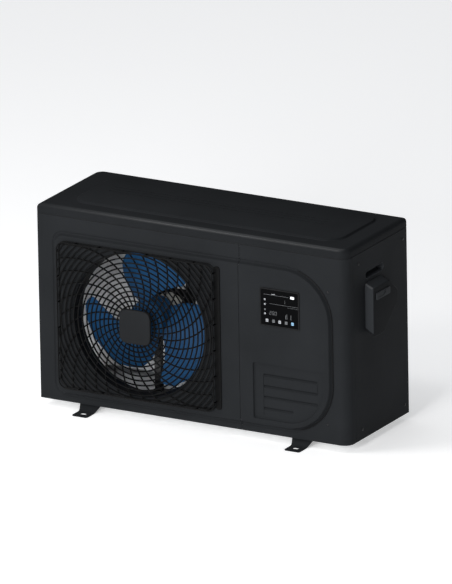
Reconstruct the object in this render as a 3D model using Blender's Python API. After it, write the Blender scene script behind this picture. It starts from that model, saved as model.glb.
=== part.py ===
"""Pool heat pump unit: side-discharge casing on two foot rails, one axial fan, one compressor.

Frame: +X to the right seen from the front, -Y to the front, +Z up. The origin is at the middle
of the footprint, on the plane that the foot pads stand on. All lengths are in metres.
"""
import math

import bmesh
import bpy
from mathutils import Vector

# ---------------------------------------------------------------- driving dimensions
CASE_WIDTH = 1.010
CASE_DEPTH = 0.356
CASE_HEIGHT = 0.583
FOOT_HEIGHT = 0.022
FOOT_REACH = 0.050
HOOD_REACH = 0.030
SHEET = 0.0015
GUARD_SHEET = 0.003
GAP = 0.0003
CORNER = 0.030
SHARP_CORNER = 0.006
SEAM = 0.0006

LEFT = -(CASE_WIDTH + HOOD_REACH) / 2
RIGHT = LEFT + CASE_WIDTH
FRONT = -CASE_DEPTH / 2
REAR = CASE_DEPTH / 2
FLOOR = FOOT_HEIGHT
TOP = FLOOR + CASE_HEIGHT

SKIRT_HEIGHT = 0.028
PANEL_LOW = FLOOR + 0.0005
PANEL_HIGH = TOP - SKIRT_HEIGHT - 0.0012
TRAY_HEIGHT = 0.014
PAN_TOP = FLOOR + SHEET

PLATEAU_RISE = 0.008
PLATEAU_FACE = FRONT - PLATEAU_RISE
PLATEAU_BACK = PLATEAU_FACE + SHEET
PANEL_SEAM = LEFT + 0.662

FAN_X = LEFT + 0.333
FAN_Z = FLOOR + 0.2665
ORIFICE_RADIUS = 0.218
FAN_RADIUS = 0.203
HUB_RADIUS = 0.058
SHAFT_RADIUS = 0.006
FAN_FRONT = FRONT + 0.030
FAN_REAR = FRONT + 0.116
POST_FRONT = FRONT + 0.190

GUARD_WIDTH = 0.512
GUARD_HEIGHT = 0.440
GUARD_DEPTH = 0.018
GUARD_FACE = PLATEAU_FACE - GUARD_DEPTH
GUARD_X = LEFT + 0.331
GUARD_Z = FAN_Z
GUARD_CORNER = 0.026

COIL_THICKNESS = 0.028
COIL_REAR = REAR - 0.010
COIL_LEFT = LEFT + 0.010
COIL_LOW = PAN_TOP + 0.010
COIL_HIGH = TOP - 0.034
PARTITION_X = LEFT + 0.672

DISPLAY_X = LEFT + 0.7965
DISPLAY_Z = FLOOR + 0.3835
DISPLAY_WIDTH = 0.128
DISPLAY_HEIGHT = 0.113

REAR_SPLIT = LEFT + 0.655
REAR_RETURN = RIGHT - 0.030
POST_REACH = 0.050
LEFT_RETURN = 0.060
RIGHT_RETURN = 0.042
SIDE_START = FRONT + RIGHT_RETURN + SEAM
DRAIN_Y = 0.060
GLAND_X = LEFT + 0.730
GLAND_Z = FLOOR + 0.240

UNION_X = LEFT + 0.880
INLET_Z = FLOOR + 0.105
OUTLET_Z = FLOOR + 0.345
PIPE_RADIUS = 0.025
PIPE_BORE = 0.0205
THREAD_RADIUS = 0.030

# ---------------------------------------------------------------- scene and materials


def clear_scene():
    for item in list(bpy.data.objects):
        bpy.data.objects.remove(item, do_unlink=True)


def make_material(name, colour, roughness, metallic=0.0):
    material = bpy.data.materials.new(name)
    material.use_nodes = True
    shader = material.node_tree.nodes["Principled BSDF"]
    shader.inputs["Base Color"].default_value = (*colour, 1.0)
    shader.inputs["Roughness"].default_value = roughness
    shader.inputs["Metallic"].default_value = metallic
    material.diffuse_color = (*colour, 1.0)
    return material


def make_materials():
    return {
        "casing": make_material("casing_paint", (0.026, 0.028, 0.030), 0.45),
        "guard": make_material("guard_wire_coating", (0.006, 0.006, 0.007), 0.40),
        "black": make_material("black_plastic", (0.010, 0.010, 0.011), 0.50),
        "blue": make_material("blue_fan_plastic", (0.022, 0.120, 0.300), 0.35),
        "glass": make_material("display_glass", (0.004, 0.004, 0.005), 0.08),
        "fins": make_material("aluminium_fins", (0.75, 0.76, 0.77), 0.40, 1.0),
        "zinc": make_material("zinc_plated_steel", (0.60, 0.61, 0.62), 0.38, 1.0),
        "copper": make_material("copper_tube", (0.80, 0.38, 0.24), 0.30, 1.0),
        "brass": make_material("brass_fitting", (0.75, 0.58, 0.28), 0.32, 1.0),
        "steel": make_material("compressor_paint", (0.012, 0.012, 0.013), 0.55),
        "rubber": make_material("rubber", (0.015, 0.015, 0.015), 0.80),
        "vessel": make_material("vessel_plastic", (0.045, 0.047, 0.050), 0.50),
        "board": make_material("circuit_board", (0.015, 0.090, 0.035), 0.45),
        "ceramic": make_material("moulded_resin", (0.60, 0.60, 0.57), 0.55),
    }


# ---------------------------------------------------------------- mesh helpers


def finish_mesh(name, bm, material, sharp_degrees=35):
    bmesh.ops.recalc_face_normals(bm, faces=bm.faces)
    mesh = bpy.data.meshes.new(name)
    bm.to_mesh(mesh)
    bm.free()
    mesh.materials.append(material)
    mesh.shade_smooth()
    mesh.set_sharp_from_angle(angle=math.radians(sharp_degrees))
    item = bpy.data.objects.new(name, mesh)
    bpy.context.collection.objects.link(item)
    return item


def loft(name, loops, material, ring=False):
    """Closed solid through loops of equal point count; ring joins the last loop to the first."""
    bm = bmesh.new()
    rows = [[bm.verts.new(point) for point in loop] for loop in loops]
    pairs = list(zip(rows, rows[1:]))
    if ring:
        pairs.append((rows[-1], rows[0]))
    for low, high in pairs:
        for i in range(len(low)):
            j = (i + 1) % len(low)
            bm.faces.new((low[i], low[j], high[j], high[i]))
    if not ring:
        bm.faces.new(reversed(rows[0]))
        bm.faces.new(rows[-1])
    return finish_mesh(name, bm, material)


def rounded(corners, steps=4):
    """Outline through (x, y, radius) corners, each rounded by an arc of `steps` chords."""
    points = []
    for i, (x, y, radius) in enumerate(corners):
        here = Vector((x, y))
        if radius == 0:
            points.append(here)
            continue
        before = (Vector(corners[i - 1][:2]) - here).normalized()
        after = (Vector(corners[(i + 1) % len(corners)][:2]) - here).normalized()
        half = before.angle(after) / 2
        centre = here + (before + after).normalized() * (radius / math.sin(half))
        start = here + before * (radius / math.tan(half)) - centre
        end = here + after * (radius / math.tan(half)) - centre
        turn = start.angle(end)
        for k in range(steps + 1):
            part = k / steps
            arm = start * math.sin((1 - part) * turn) + end * math.sin(part * turn)
            points.append(centre + arm / math.sin(turn))
    return points


def box_outline(x_low, x_high, y_low, y_high, radii, steps=4):
    """Rounded rectangle; radii start at the low-low corner and run anticlockwise."""
    if not isinstance(radii, (list, tuple)):
        radii = (radii,) * 4
    corners = ((x_low, y_low), (x_high, y_low), (x_high, y_high), (x_low, y_high))
    return rounded([(x, y, radius) for (x, y), radius in zip(corners, radii)], steps)


def level(points, z):
    return [(p[0], p[1], z) for p in points]


def facing(points, y):
    return [(p[0], y, p[1]) for p in points]


def sideways(points, x):
    return [(x, p[0], p[1]) for p in points]


def plate(name, points, place, low, high, material):
    """Flat piece: an outline set by `place` (level, facing or sideways) between two offsets."""
    return loft(name, [place(points, low), place(points, high)], material)


def block(name, x_range, y_range, z_range, material, radius=0.0):
    outline = box_outline(*x_range, *y_range, radius)
    return plate(name, outline, level, *z_range, material)


AXES = {
    "X": (Vector((0, 1, 0)), Vector((0, 0, 1)), Vector((1, 0, 0))),
    "Y": (Vector((0, 0, 1)), Vector((1, 0, 0)), Vector((0, 1, 0))),
    "Z": (Vector((1, 0, 0)), Vector((0, 1, 0)), Vector((0, 0, 1))),
}


def turned(name, profile, centre, axis, material, steps=24, ring=False):
    """Round piece from (radius, distance along axis) pairs; ring closes a bored profile."""
    across, upward, along = AXES[axis]
    loops = []
    for radius, reach in profile:
        loop = []
        for i in range(steps):
            angle = math.tau * i / steps
            arm = across * math.cos(angle) + upward * math.sin(angle)
            loop.append(Vector(centre) + along * reach + arm * radius)
        loops.append(loop)
    return loft(name, loops, material, ring)


def bend_path(points, radius, steps=4):
    """Polyline with each inner corner replaced by an arc of the given radius."""
    path = [Vector(points[0])]
    for before, here, after in zip(points, points[1:], points[2:]):
        here = Vector(here)
        inward = (Vector(before) - here).normalized()
        onward = (Vector(after) - here).normalized()
        half = inward.angle(onward) / 2
        centre = here + (inward + onward).normalized() * (radius / math.sin(half))
        start = here + inward * (radius / math.tan(half)) - centre
        end = here + onward * (radius / math.tan(half)) - centre
        turn = start.angle(end)
        for k in range(steps + 1):
            part = k / steps
            arm = start * math.sin((1 - part) * turn) + end * math.sin(part * turn)
            path.append(centre + arm / math.sin(turn))
    path.append(Vector(points[-1]))
    return path


def pipe(name, points, bend, radius, material, sides=8, steps=3):
    """Round tube solid along a bent path, with flat ends."""
    path = bend_path(points, bend, steps)
    tangent = (path[1] - path[0]).normalized()
    across = tangent.orthogonal().normalized()
    loops = []
    for i, place in enumerate(path):
        ahead = path[min(i + 1, len(path) - 1)] - path[max(i - 1, 0)]
        turn = tangent.rotation_difference(ahead.normalized())
        tangent = ahead.normalized()
        across = (turn @ across).normalized()
        upward = tangent.cross(across)
        angles = [math.tau * k / sides for k in range(sides)]
        loops.append([place + (across * math.cos(a) + upward * math.sin(a)) * radius
                      for a in angles])
    return loft(name, loops, material)


def combine(item, tool, operation):
    """Boolean with a helper solid that isn't part of the model."""
    tool.hide_render = True
    tool.display_type = "WIRE"
    modifier = item.modifiers.new(operation.lower(), "BOOLEAN")
    modifier.operation = operation
    modifier.object = tool
    return item


def cut(item, tool):
    return combine(item, tool, "DIFFERENCE")


def join(item, tool):
    return combine(item, tool, "UNION")


# ---------------------------------------------------------------- casing


def casing_outline(inset=0.0, steps=5):
    """Plan of the casing, inset by the given amount; two corners are round, two are tight."""
    radii = [max(radius - inset, 0.002)
             for radius in (SHARP_CORNER, CORNER, SHARP_CORNER, CORNER)]
    return box_outline(LEFT + inset, RIGHT - inset, FRONT + inset, REAR - inset, radii, steps)


def make_base_pan(mats):
    inset = GUARD_SHEET + GAP
    wall = inset + SHEET
    loops = [
        level(casing_outline(wall), PAN_TOP),
        level(casing_outline(wall), FLOOR + TRAY_HEIGHT),
        level(casing_outline(inset), FLOOR + TRAY_HEIGHT),
        level(casing_outline(inset), FLOOR),
    ]
    pan = loft("base_pan", loops, mats["zinc"])
    drain = turned("drain_cutter", [(0.0065, -0.01), (0.0065, 0.01)],
                   (FAN_X, DRAIN_Y, FLOOR), "Z", mats["casing"], steps=20)
    return cut(pan, drain)


FOOT_SHEET = 0.0025
PAD_WIDTH = 0.050
RAIL_WIDTH = 0.070
PAD_LENGTH = 0.046
RISER_RUN = 0.022


def make_foot_rail(name, centre_x, mats):
    """One bent strip: a slotted pad at each end and a raised run under the base pan."""
    pad_tip = FRONT - FOOT_REACH
    stations = [
        (pad_tip, 0.0, PAD_WIDTH),
        (pad_tip + PAD_LENGTH, 0.0, PAD_WIDTH),
        (pad_tip + PAD_LENGTH + RISER_RUN, FOOT_HEIGHT - GAP - FOOT_SHEET, RAIL_WIDTH),
    ]
    stations += [(-y, z, width) for y, z, width in reversed(stations)]
    loops = []
    for y, z, width in stations:
        half = width / 2
        low, high = z, z + FOOT_SHEET
        loops.append([(centre_x - half, y, low), (centre_x + half, y, low),
                      (centre_x + half, y, high), (centre_x - half, y, high)])
    rail = loft(name, loops, mats["casing"])
    for side in (-1, 1):
        slot_y = side * (CASE_DEPTH / 2 + FOOT_REACH - 0.026)
        slot = box_outline(centre_x - 0.010, centre_x + 0.010,
                           slot_y - 0.0065, slot_y + 0.0065, 0.0064, 4)
        cut(rail, plate(f"{name}_slot", slot, level, -0.01, 0.01, mats["casing"]))
    return rail


def wrap_outline():
    """Plan of the front sheet: tight left corner, round right one, short side returns."""
    outer = [
        (LEFT, FRONT + LEFT_RETURN, 0), (LEFT, FRONT, SHARP_CORNER),
        (RIGHT, FRONT, CORNER), (RIGHT, FRONT + RIGHT_RETURN, 0),
    ]
    inner = [
        (RIGHT - SHEET, FRONT + RIGHT_RETURN, 0),
        (RIGHT - SHEET, FRONT + SHEET, CORNER - SHEET),
        (LEFT + SHEET, FRONT + SHEET, SHARP_CORNER - SHEET),
        (LEFT + SHEET, FRONT + LEFT_RETURN, 0),
    ]
    return rounded(outer + inner, 5)


PLATEAU = (LEFT + 0.058, LEFT + 0.957, FLOOR + 0.024, FLOOR + 0.504)
PLATEAU_RADII = (0.030, 0.148, 0.148, 0.030)
PLATEAU_SLOPE = 0.006
GROOVE_DEPTH = 0.002
GROOVE_WIDTH = 0.0085


def plateau_outline(inset):
    x_low, x_high, z_low, z_high = PLATEAU
    radii = [radius - inset for radius in PLATEAU_RADII]
    return box_outline(x_low + inset, x_high - inset, z_low + inset, z_high - inset, radii, 8)


def make_front_sheet(name, mats):
    """Sheet with a shallow groove round a raised field for the guard and the controls."""
    sheet = plate(name, wrap_outline(), level, PANEL_LOW, PANEL_HIGH, mats["casing"])
    clearing = plate(f"{name}_clearing", plateau_outline(0.0005 - GROOVE_WIDTH), facing,
                     FRONT - 0.01, FRONT + 0.01, mats["casing"])
    bottom = FRONT + GROOVE_DEPTH
    loops = [
        facing(plateau_outline(PLATEAU_SLOPE + SHEET), PLATEAU_BACK),
        facing(plateau_outline(0.002), bottom + SHEET),
        facing(plateau_outline(0.0025 - GROOVE_WIDTH), bottom + SHEET),
        facing(plateau_outline(-GROOVE_WIDTH), FRONT + SHEET / 2),
        facing(plateau_outline(0.0015 - GROOVE_WIDTH), FRONT),
        facing(plateau_outline(0.0035 - GROOVE_WIDTH), bottom),
        facing(plateau_outline(0.0), bottom),
        facing(plateau_outline(PLATEAU_SLOPE), PLATEAU_FACE + 0.0008),
        facing(plateau_outline(PLATEAU_SLOPE + 0.0015), PLATEAU_FACE),
    ]
    cut(sheet, clearing)
    return join(sheet, loft(f"{name}_raised_field", loops, mats["casing"]))


def seam_cutter(name, x_low, x_high, mats):
    return block(name, (x_low, x_high), (FRONT - 0.1, REAR), (-0.1, TOP + 0.1), mats["casing"])


def make_front_panel(mats):
    panel = make_front_sheet("front_panel", mats)
    cut(panel, seam_cutter("front_panel_seam", PANEL_SEAM - SEAM, RIGHT + 0.1, mats))
    hole = turned("orifice_cutter", [(ORIFICE_RADIUS, -0.05), (ORIFICE_RADIUS, 0.05)],
                  (FAN_X, FRONT, FAN_Z), "Y", mats["casing"], steps=64)
    return cut(panel, hole)


LOUVRE_X = (LEFT + 0.705, LEFT + 0.934)
LOUVRE_Z = (FLOOR + 0.045, FLOOR + 0.212)
LOUVRE_ARC = 0.118
LOUVRE_RIM = 0.007
LOUVRE_SINK = 0.0035
LOUVRE_ROWS = ((0.177, 0.912), (0.143, 0.912), (0.111, 0.912), (0.077, 0.832))


def louvre_outline(inset):
    """Opening for the service plate; a negative inset gives the plate's hidden rim."""
    small = max(0.006 - inset, 0.001)
    radii = (small, LOUVRE_ARC - inset, small, small)
    return box_outline(LOUVRE_X[0] + inset, LOUVRE_X[1] - inset,
                       LOUVRE_Z[0] + inset, LOUVRE_Z[1] - inset, radii, 6)


def make_control_panel(mats):
    panel = make_front_sheet("control_panel", mats)
    cut(panel, seam_cutter("control_panel_seam", LEFT - 0.1, PANEL_SEAM + SEAM, mats))
    window = box_outline(DISPLAY_X - 0.058, DISPLAY_X + 0.058,
                         DISPLAY_Z - 0.050, DISPLAY_Z + 0.050, 0.004)
    cut(panel, plate("display_cutter", window, facing, FRONT - 0.05, FRONT + 0.05,
                     mats["casing"]))
    return cut(panel, plate("louvre_cutter", louvre_outline(0.0), facing,
                            FRONT - 0.05, FRONT + 0.05, mats["casing"]))


def make_louvre_panel(mats):
    """Sunk service plate: its rim lies behind the sheet, its slots open to the compressor."""
    rim_face = PLATEAU_BACK + GAP
    face = rim_face + LOUVRE_SINK
    back = face + SHEET
    panel = loft("louvre_panel", [
        facing(louvre_outline(-LOUVRE_RIM), back), facing(louvre_outline(-LOUVRE_RIM), rim_face),
        facing(louvre_outline(0.0), rim_face), facing(louvre_outline(0.0005), face),
    ], mats["casing"])
    for row, (height, reach) in enumerate(LOUVRE_ROWS):
        slot = box_outline(LEFT + 0.737, LEFT + reach, FLOOR + height - 0.0035,
                           FLOOR + height + 0.0035, 0.003)
        cut(panel, plate(f"louvre_slot_{row}", slot, facing, face - 0.01, back + 0.01,
                         mats["casing"]))
    return panel


COVER_EDGE = 0.014
COVER_FIELD = (LEFT + 0.078, RIGHT - 0.057, FRONT + 0.053, REAR - 0.036)
COVER_RISE = 0.006


def make_top_cover(mats):
    x_low, x_high, y_low, y_high = COVER_FIELD

    def field_outline(inset):
        return box_outline(x_low + inset, x_high - inset, y_low + inset, y_high - inset,
                           0.058 - inset, 5)

    skirt_low = TOP - SKIRT_HEIGHT
    outer = [level(casing_outline(), skirt_low)]
    for k in range(4):
        angle = math.radians(30 * k)
        outer.append(level(casing_outline(COVER_EDGE * (1 - math.cos(angle))),
                           TOP - COVER_EDGE * (1 - math.sin(angle))))
    outer += [
        level(field_outline(0.0), TOP),
        level(field_outline(0.004), TOP + COVER_RISE - 0.001),
        level(field_outline(0.006), TOP + COVER_RISE),
    ]
    inner = [
        level(field_outline(0.006 + SHEET), TOP + COVER_RISE - SHEET),
        level(field_outline(SHEET), TOP - SHEET),
        level(casing_outline(COVER_EDGE), TOP - SHEET),
        level(casing_outline(SHEET), TOP - COVER_EDGE),
        level(casing_outline(SHEET), skirt_low),
    ]
    return loft("top_cover", inner + outer, mats["casing"])


def make_right_side_panel(mats):
    """Right side and its return around the tight rear corner."""
    outline = rounded([
        (RIGHT, SIDE_START, 0), (RIGHT, REAR, SHARP_CORNER), (REAR_RETURN, REAR, 0),
        (REAR_RETURN, REAR - SHEET, 0),
        (RIGHT - SHEET, REAR - SHEET, SHARP_CORNER - SHEET), (RIGHT - SHEET, SIDE_START, 0),
    ])
    panel = plate("right_side_panel", outline, level, PANEL_LOW, PANEL_HIGH, mats["casing"])
    window = box_outline(FRONT + 0.125, FRONT + 0.190, FLOOR + 0.340, FLOOR + 0.435, 0.010)
    cut(panel, plate("wiring_window", window, sideways, RIGHT - 0.05, RIGHT + 0.05,
                     mats["casing"]))
    recess = grip_outline(0.0)
    return cut(panel, plate("grip_window", recess, sideways, RIGHT - 0.05, RIGHT + 0.05,
                            mats["casing"]))


def make_rear_panel(mats):
    outline = box_outline(REAR_SPLIT, REAR_RETURN - SEAM, PANEL_LOW, PANEL_HIGH, 0.001, 1)
    panel = plate("rear_panel", outline, facing, REAR - SHEET, REAR, mats["casing"])
    for label, height in (("inlet", INLET_Z), ("outlet", OUTLET_Z)):
        hole = turned(f"{label}_hole", [(PIPE_RADIUS + 0.001, -0.02), (PIPE_RADIUS + 0.001, 0.02)],
                      (UNION_X, REAR, height), "Y", mats["casing"])
        cut(panel, hole)
    return cut(panel, turned("gland_hole", [(0.0103, -0.02), (0.0103, 0.02)],
                             (GLAND_X, REAR, GLAND_Z), "Y", mats["casing"], steps=20))


def grille(name, points, place, low, high, windows, mats):
    """Flat frame with a row of upright windows cut through it."""
    frame = plate(name, points, place, low, high, mats["guard"])
    for index, (a_range, b_range) in enumerate(windows):
        window = box_outline(*a_range, *b_range, 0)
        cut(frame, plate(f"{name}_window_{index}", window, place, low - 0.02, high + 0.02,
                         mats["guard"]))
    return frame


def window_grid(a_low, a_high, b_low, b_high, columns, rows, bar):
    """Ranges of equal windows with a bar's width between them."""
    width = (a_high - a_low - bar * (columns - 1)) / columns
    height = (b_high - b_low - bar * (rows - 1)) / rows
    cells = []
    for i in range(columns):
        for j in range(rows):
            a, b = a_low + i * (width + bar), b_low + j * (height + bar)
            cells.append(((a, a + width), (b, b + height)))
    return cells


def make_rear_left_post(mats):
    """Round corner post between the two coil guards."""
    outline = rounded([
        (LEFT + POST_REACH, REAR, 0), (LEFT, REAR, CORNER), (LEFT, REAR - POST_REACH, 0),
        (LEFT + SHEET, REAR - POST_REACH, 0), (LEFT + SHEET, REAR - SHEET, CORNER - SHEET),
        (LEFT + POST_REACH, REAR - SHEET, 0),
    ], 5)
    return plate("rear_left_post", outline, level, PANEL_LOW, PANEL_HIGH, mats["casing"])


def make_coil_guards(mats):
    x_low, x_high = LEFT + POST_REACH + SEAM, REAR_SPLIT - SEAM
    rear = grille("rear_coil_guard", box_outline(x_low, x_high, PANEL_LOW, PANEL_HIGH, 0.002, 1),
                  facing, REAR - GUARD_SHEET, REAR,
                  window_grid(x_low + 0.012, x_high - 0.012, PANEL_LOW + 0.03,
                              PANEL_HIGH - 0.03, 6, 2, 0.006), mats)
    y_low, y_high = FRONT + LEFT_RETURN + SEAM, REAR - POST_REACH - SEAM
    left = grille("left_coil_guard", box_outline(y_low, y_high, PANEL_LOW, PANEL_HIGH, 0.002, 1),
                  sideways, LEFT, LEFT + GUARD_SHEET,
                  window_grid(y_low + 0.012, y_high - 0.012, PANEL_LOW + 0.03,
                              PANEL_HIGH - 0.03, 3, 2, 0.006), mats)
    return rear, left


HOOD_DROP = 0.011
HOOD_LIFT = 0.014
LATCH_THICK = 0.003
HOOD_WALL = 0.0025


def hood_outline(inset, drop=0.0, lift=0.0):
    """Side view of the wiring hood, in Y and Z: upright front, sloping lower rear edge."""
    low, high = FLOOR + 0.298 + lift, FLOOR + 0.456 - drop
    corners = [
        (FRONT + 0.104, low, 0.016), (FRONT + 0.165, low, 0.020),
        (FRONT + 0.248, low + 0.069, 0.030), (FRONT + 0.252, high - 0.044, 0.022),
        (FRONT + 0.200, high, 0.024), (FRONT + 0.104, high, 0.008),
    ]
    points = rounded(corners, 4)
    middle = Vector((FRONT + 0.178, FLOOR + 0.378))
    shrink = 1 - inset / 0.070
    return [middle + (point - middle) * shrink for point in points]


def make_terminal_cover(mats):
    """Hollow hood; its top and its underside both slope down towards the outer face."""
    base, face = RIGHT + GAP, RIGHT + HOOD_REACH - LATCH_THICK
    loops = [
        sideways(hood_outline(0.004 + HOOD_WALL, HOOD_DROP), face - HOOD_WALL),
        sideways(hood_outline(HOOD_WALL, 0.0, HOOD_LIFT), base),
        sideways(hood_outline(0.0, 0.0, HOOD_LIFT), base),
        sideways(hood_outline(0.001, HOOD_DROP * 0.4, HOOD_LIFT * 0.2), base + 0.012),
        sideways(hood_outline(0.002, HOOD_DROP - 0.002), face - 0.003),
        sideways(hood_outline(0.005, HOOD_DROP), face),
    ]
    return loft("terminal_cover", loops, mats["casing"])


# ---------------------------------------------------------------- fan and its guard

GUARD_PLATE = 0.003
GUARD_RINGS = (0.070, 0.115, 0.160, 0.205)
RING_BAR = 0.005
SPOKES = 12
SPOKE_STEPS = 4
FLANGE_REACH = 0.0155


def guard_frame(inset):
    """Rounded-rectangle outline met along the same rays as the rings."""
    half_width = GUARD_WIDTH / 2 - inset
    half_height = GUARD_HEIGHT / 2 - inset
    corner = GUARD_CORNER - inset
    points = []
    for k in range(SPOKES * SPOKE_STEPS):
        angle = spoke_angle(k)
        ray = Vector((math.cos(angle), math.sin(angle)))
        reach = min(half_width / max(abs(ray.x), 1e-6), half_height / max(abs(ray.y), 1e-6))
        spot = ray * reach
        inner = Vector((half_width - corner, half_height - corner))
        if abs(spot.x) > inner.x and abs(spot.y) > inner.y:
            centre = Vector((math.copysign(inner.x, spot.x), math.copysign(inner.y, spot.y)))
            along = centre.dot(ray)
            spot = ray * (along + math.sqrt(along ** 2 - centre.length_squared + corner ** 2))
        points.append(Vector((GUARD_X, GUARD_Z)) + spot)
    return points


def spoke_angle(k):
    """Angle of the k-th ray: each spoke's two edges, then even steps to the next spoke."""
    spoke, step = divmod(k, SPOKE_STEPS)
    pitch = math.tau / SPOKES
    spoke_share = 0.10
    if step == 0:
        return pitch * spoke
    return pitch * (spoke + spoke_share + (1 - spoke_share) * (step - 1) / (SPOKE_STEPS - 1))


def guard_ring(radius):
    return [Vector((FAN_X + radius * math.cos(spoke_angle(k)),
                    FAN_Z + radius * math.sin(spoke_angle(k))))
            for k in range(SPOKES * SPOKE_STEPS)]


def make_fan_guard(mats):
    """Basket grille: disc, rings and spokes in one plate, with a rim that stands on the panel."""
    face, back = GUARD_FACE, GUARD_FACE + GUARD_PLATE
    seat = PLATEAU_FACE - GAP
    rows = [(facing(guard_ring(HUB_RADIUS - 0.012), face), facing(guard_ring(0.044), back))]
    solid_bands = []
    for radius in GUARD_RINGS:
        rows.append((facing(guard_ring(radius - RING_BAR), face),
                     facing(guard_ring(radius - RING_BAR), back)))
        rows.append((facing(guard_ring(radius), face), facing(guard_ring(radius), back)))
        solid_bands.append(len(rows) - 2)
    rows.append((facing(guard_frame(0.010), face), facing(guard_frame(0.010), back)))
    rows.append((facing(guard_frame(0.003), face), facing(guard_frame(0.005), back)))
    rows.append((facing(guard_frame(0.0), face + 0.003), facing(guard_frame(0.003), back + 0.003)))
    rows.append((facing(guard_frame(0.0), seat), facing(guard_frame(0.003), seat)))
    solid_bands += [len(rows) - 4, len(rows) - 3, len(rows) - 2]
    solid_bands.append(0)

    bm = bmesh.new()
    front_rows = [[bm.verts.new(point) for point in front] for front, _ in rows]
    back_rows = [[bm.verts.new(point) for point in rear] for _, rear in rows]
    count = SPOKES * SPOKE_STEPS

    def is_solid(band, k):
        if band < 0:
            return True
        if band >= len(rows) - 1:
            return False
        return band in solid_bands or k % SPOKE_STEPS == 0

    for band in range(len(rows) - 1):
        for k in range(count):
            if not is_solid(band, k):
                continue
            n = (k + 1) % count
            for side in (front_rows, back_rows):
                bm.faces.new((side[band][k], side[band][n], side[band + 1][n], side[band + 1][k]))
            if not is_solid(band, n):
                bm.faces.new((front_rows[band][n], front_rows[band + 1][n],
                              back_rows[band + 1][n], back_rows[band][n]))
            if not is_solid(band, k - 1):
                bm.faces.new((front_rows[band][k], front_rows[band + 1][k],
                              back_rows[band + 1][k], back_rows[band][k]))
            if band > 0 and not is_solid(band - 1, k):
                bm.faces.new((front_rows[band][k], front_rows[band][n],
                              back_rows[band][n], back_rows[band][k]))
            if not is_solid(band + 1, k):
                bm.faces.new((front_rows[band + 1][k], front_rows[band + 1][n],
                              back_rows[band + 1][n], back_rows[band + 1][k]))
    bm.faces.new(front_rows[0])
    bm.faces.new(back_rows[0])
    loose = [vert for vert in bm.verts if not vert.link_faces]
    bmesh.ops.delete(bm, geom=loose, context="VERTS")
    guard = finish_mesh("fan_guard", bm, mats["guard"])
    return join(guard, make_guard_flange(seat, mats))


def make_guard_flange(seat, mats):
    """Long fixing flange along the right side of the basket, flat on the panel."""
    edge = GUARD_X + GUARD_WIDTH / 2
    half = GUARD_HEIGHT / 2 - 0.006
    outline = box_outline(edge - 0.002, edge + FLANGE_REACH, GUARD_Z - half, GUARD_Z + half,
                          0.0085, 4)
    return plate("guard_flange", outline, facing, seat - GUARD_PLATE, seat, mats["guard"])


def make_guard_cap(mats):
    """Soft-cornered square cap over the hub, bulging along its sides."""
    def outline(inset):
        half = 0.0505 - inset
        points = []
        for k in range(32):
            angle = math.tau * k / 32
            power = 2 / 5.5
            x = math.copysign(abs(math.cos(angle)) ** power, math.cos(angle))
            z = math.copysign(abs(math.sin(angle)) ** power, math.sin(angle))
            points.append((FAN_X + half * x, FAN_Z + half * z))
        return points

    base = GUARD_FACE - GAP
    loops = [facing(outline(0.0), base), facing(outline(0.0), base - 0.003),
             facing(outline(0.0025), base - 0.0055), facing(outline(0.007), base - 0.0065)]
    return loft("guard_hub_cap", loops, mats["casing"])


SHROUD_DEPTH = 0.045
SHROUD_WALL = 0.0025
THROAT_RADIUS = FAN_RADIUS + 0.006


def make_fan_shroud(mats):
    """Short bell mouth behind the front panel, narrowing to the fan's throat."""
    start = PLATEAU_BACK + GAP
    profile = [
        (ORIFICE_RADIUS + 0.0005, 0.0), (ORIFICE_RADIUS - 0.001, 0.008),
        (THROAT_RADIUS + 0.0015, 0.024), (THROAT_RADIUS, SHROUD_DEPTH),
        (THROAT_RADIUS + SHROUD_WALL, SHROUD_DEPTH),
        (THROAT_RADIUS + 0.0015 + SHROUD_WALL, 0.0245),
        (ORIFICE_RADIUS + 0.0030, 0.007), (ORIFICE_RADIUS + 0.006, 0.002),
        (ORIFICE_RADIUS + 0.006, 0.0),
    ]
    return turned("fan_shroud", profile, (FAN_X, start, FAN_Z), "Y", mats["black"],
                  steps=40, ring=True)


BLADES = 3
BLADE_TIP_ANGLE = 84.0
BLADE_SWEEP = 36.0
BLADE_SPAN = (70.0, 84.0)
BLADE_THICK = 0.0026


def blade_point(share_out, share_round, blade):
    """Point of the blade's middle surface: out along the span and round along the chord."""
    radius = HUB_RADIUS - 0.003 + (FAN_RADIUS - HUB_RADIUS + 0.003) * share_out
    span = BLADE_SPAN[0] + (BLADE_SPAN[1] - BLADE_SPAN[0]) * share_out
    lead = 10.0 * math.sin(math.pi * share_out) * (share_round - 0.5)
    centre = BLADE_TIP_ANGLE + 360.0 / BLADES * blade + BLADE_SWEEP * (1 - share_out) ** 1.3
    angle = math.radians(centre + span * (share_round - 0.5) + lead)
    pitch = (0.060 + 0.014 * share_out) * (share_round - 0.5)
    camber = 0.010 * math.sin(math.pi * share_round)
    y = (FAN_FRONT + FAN_REAR) / 2 + pitch - camber
    return Vector((FAN_X + radius * math.cos(angle), y, FAN_Z + radius * math.sin(angle)))


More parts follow.
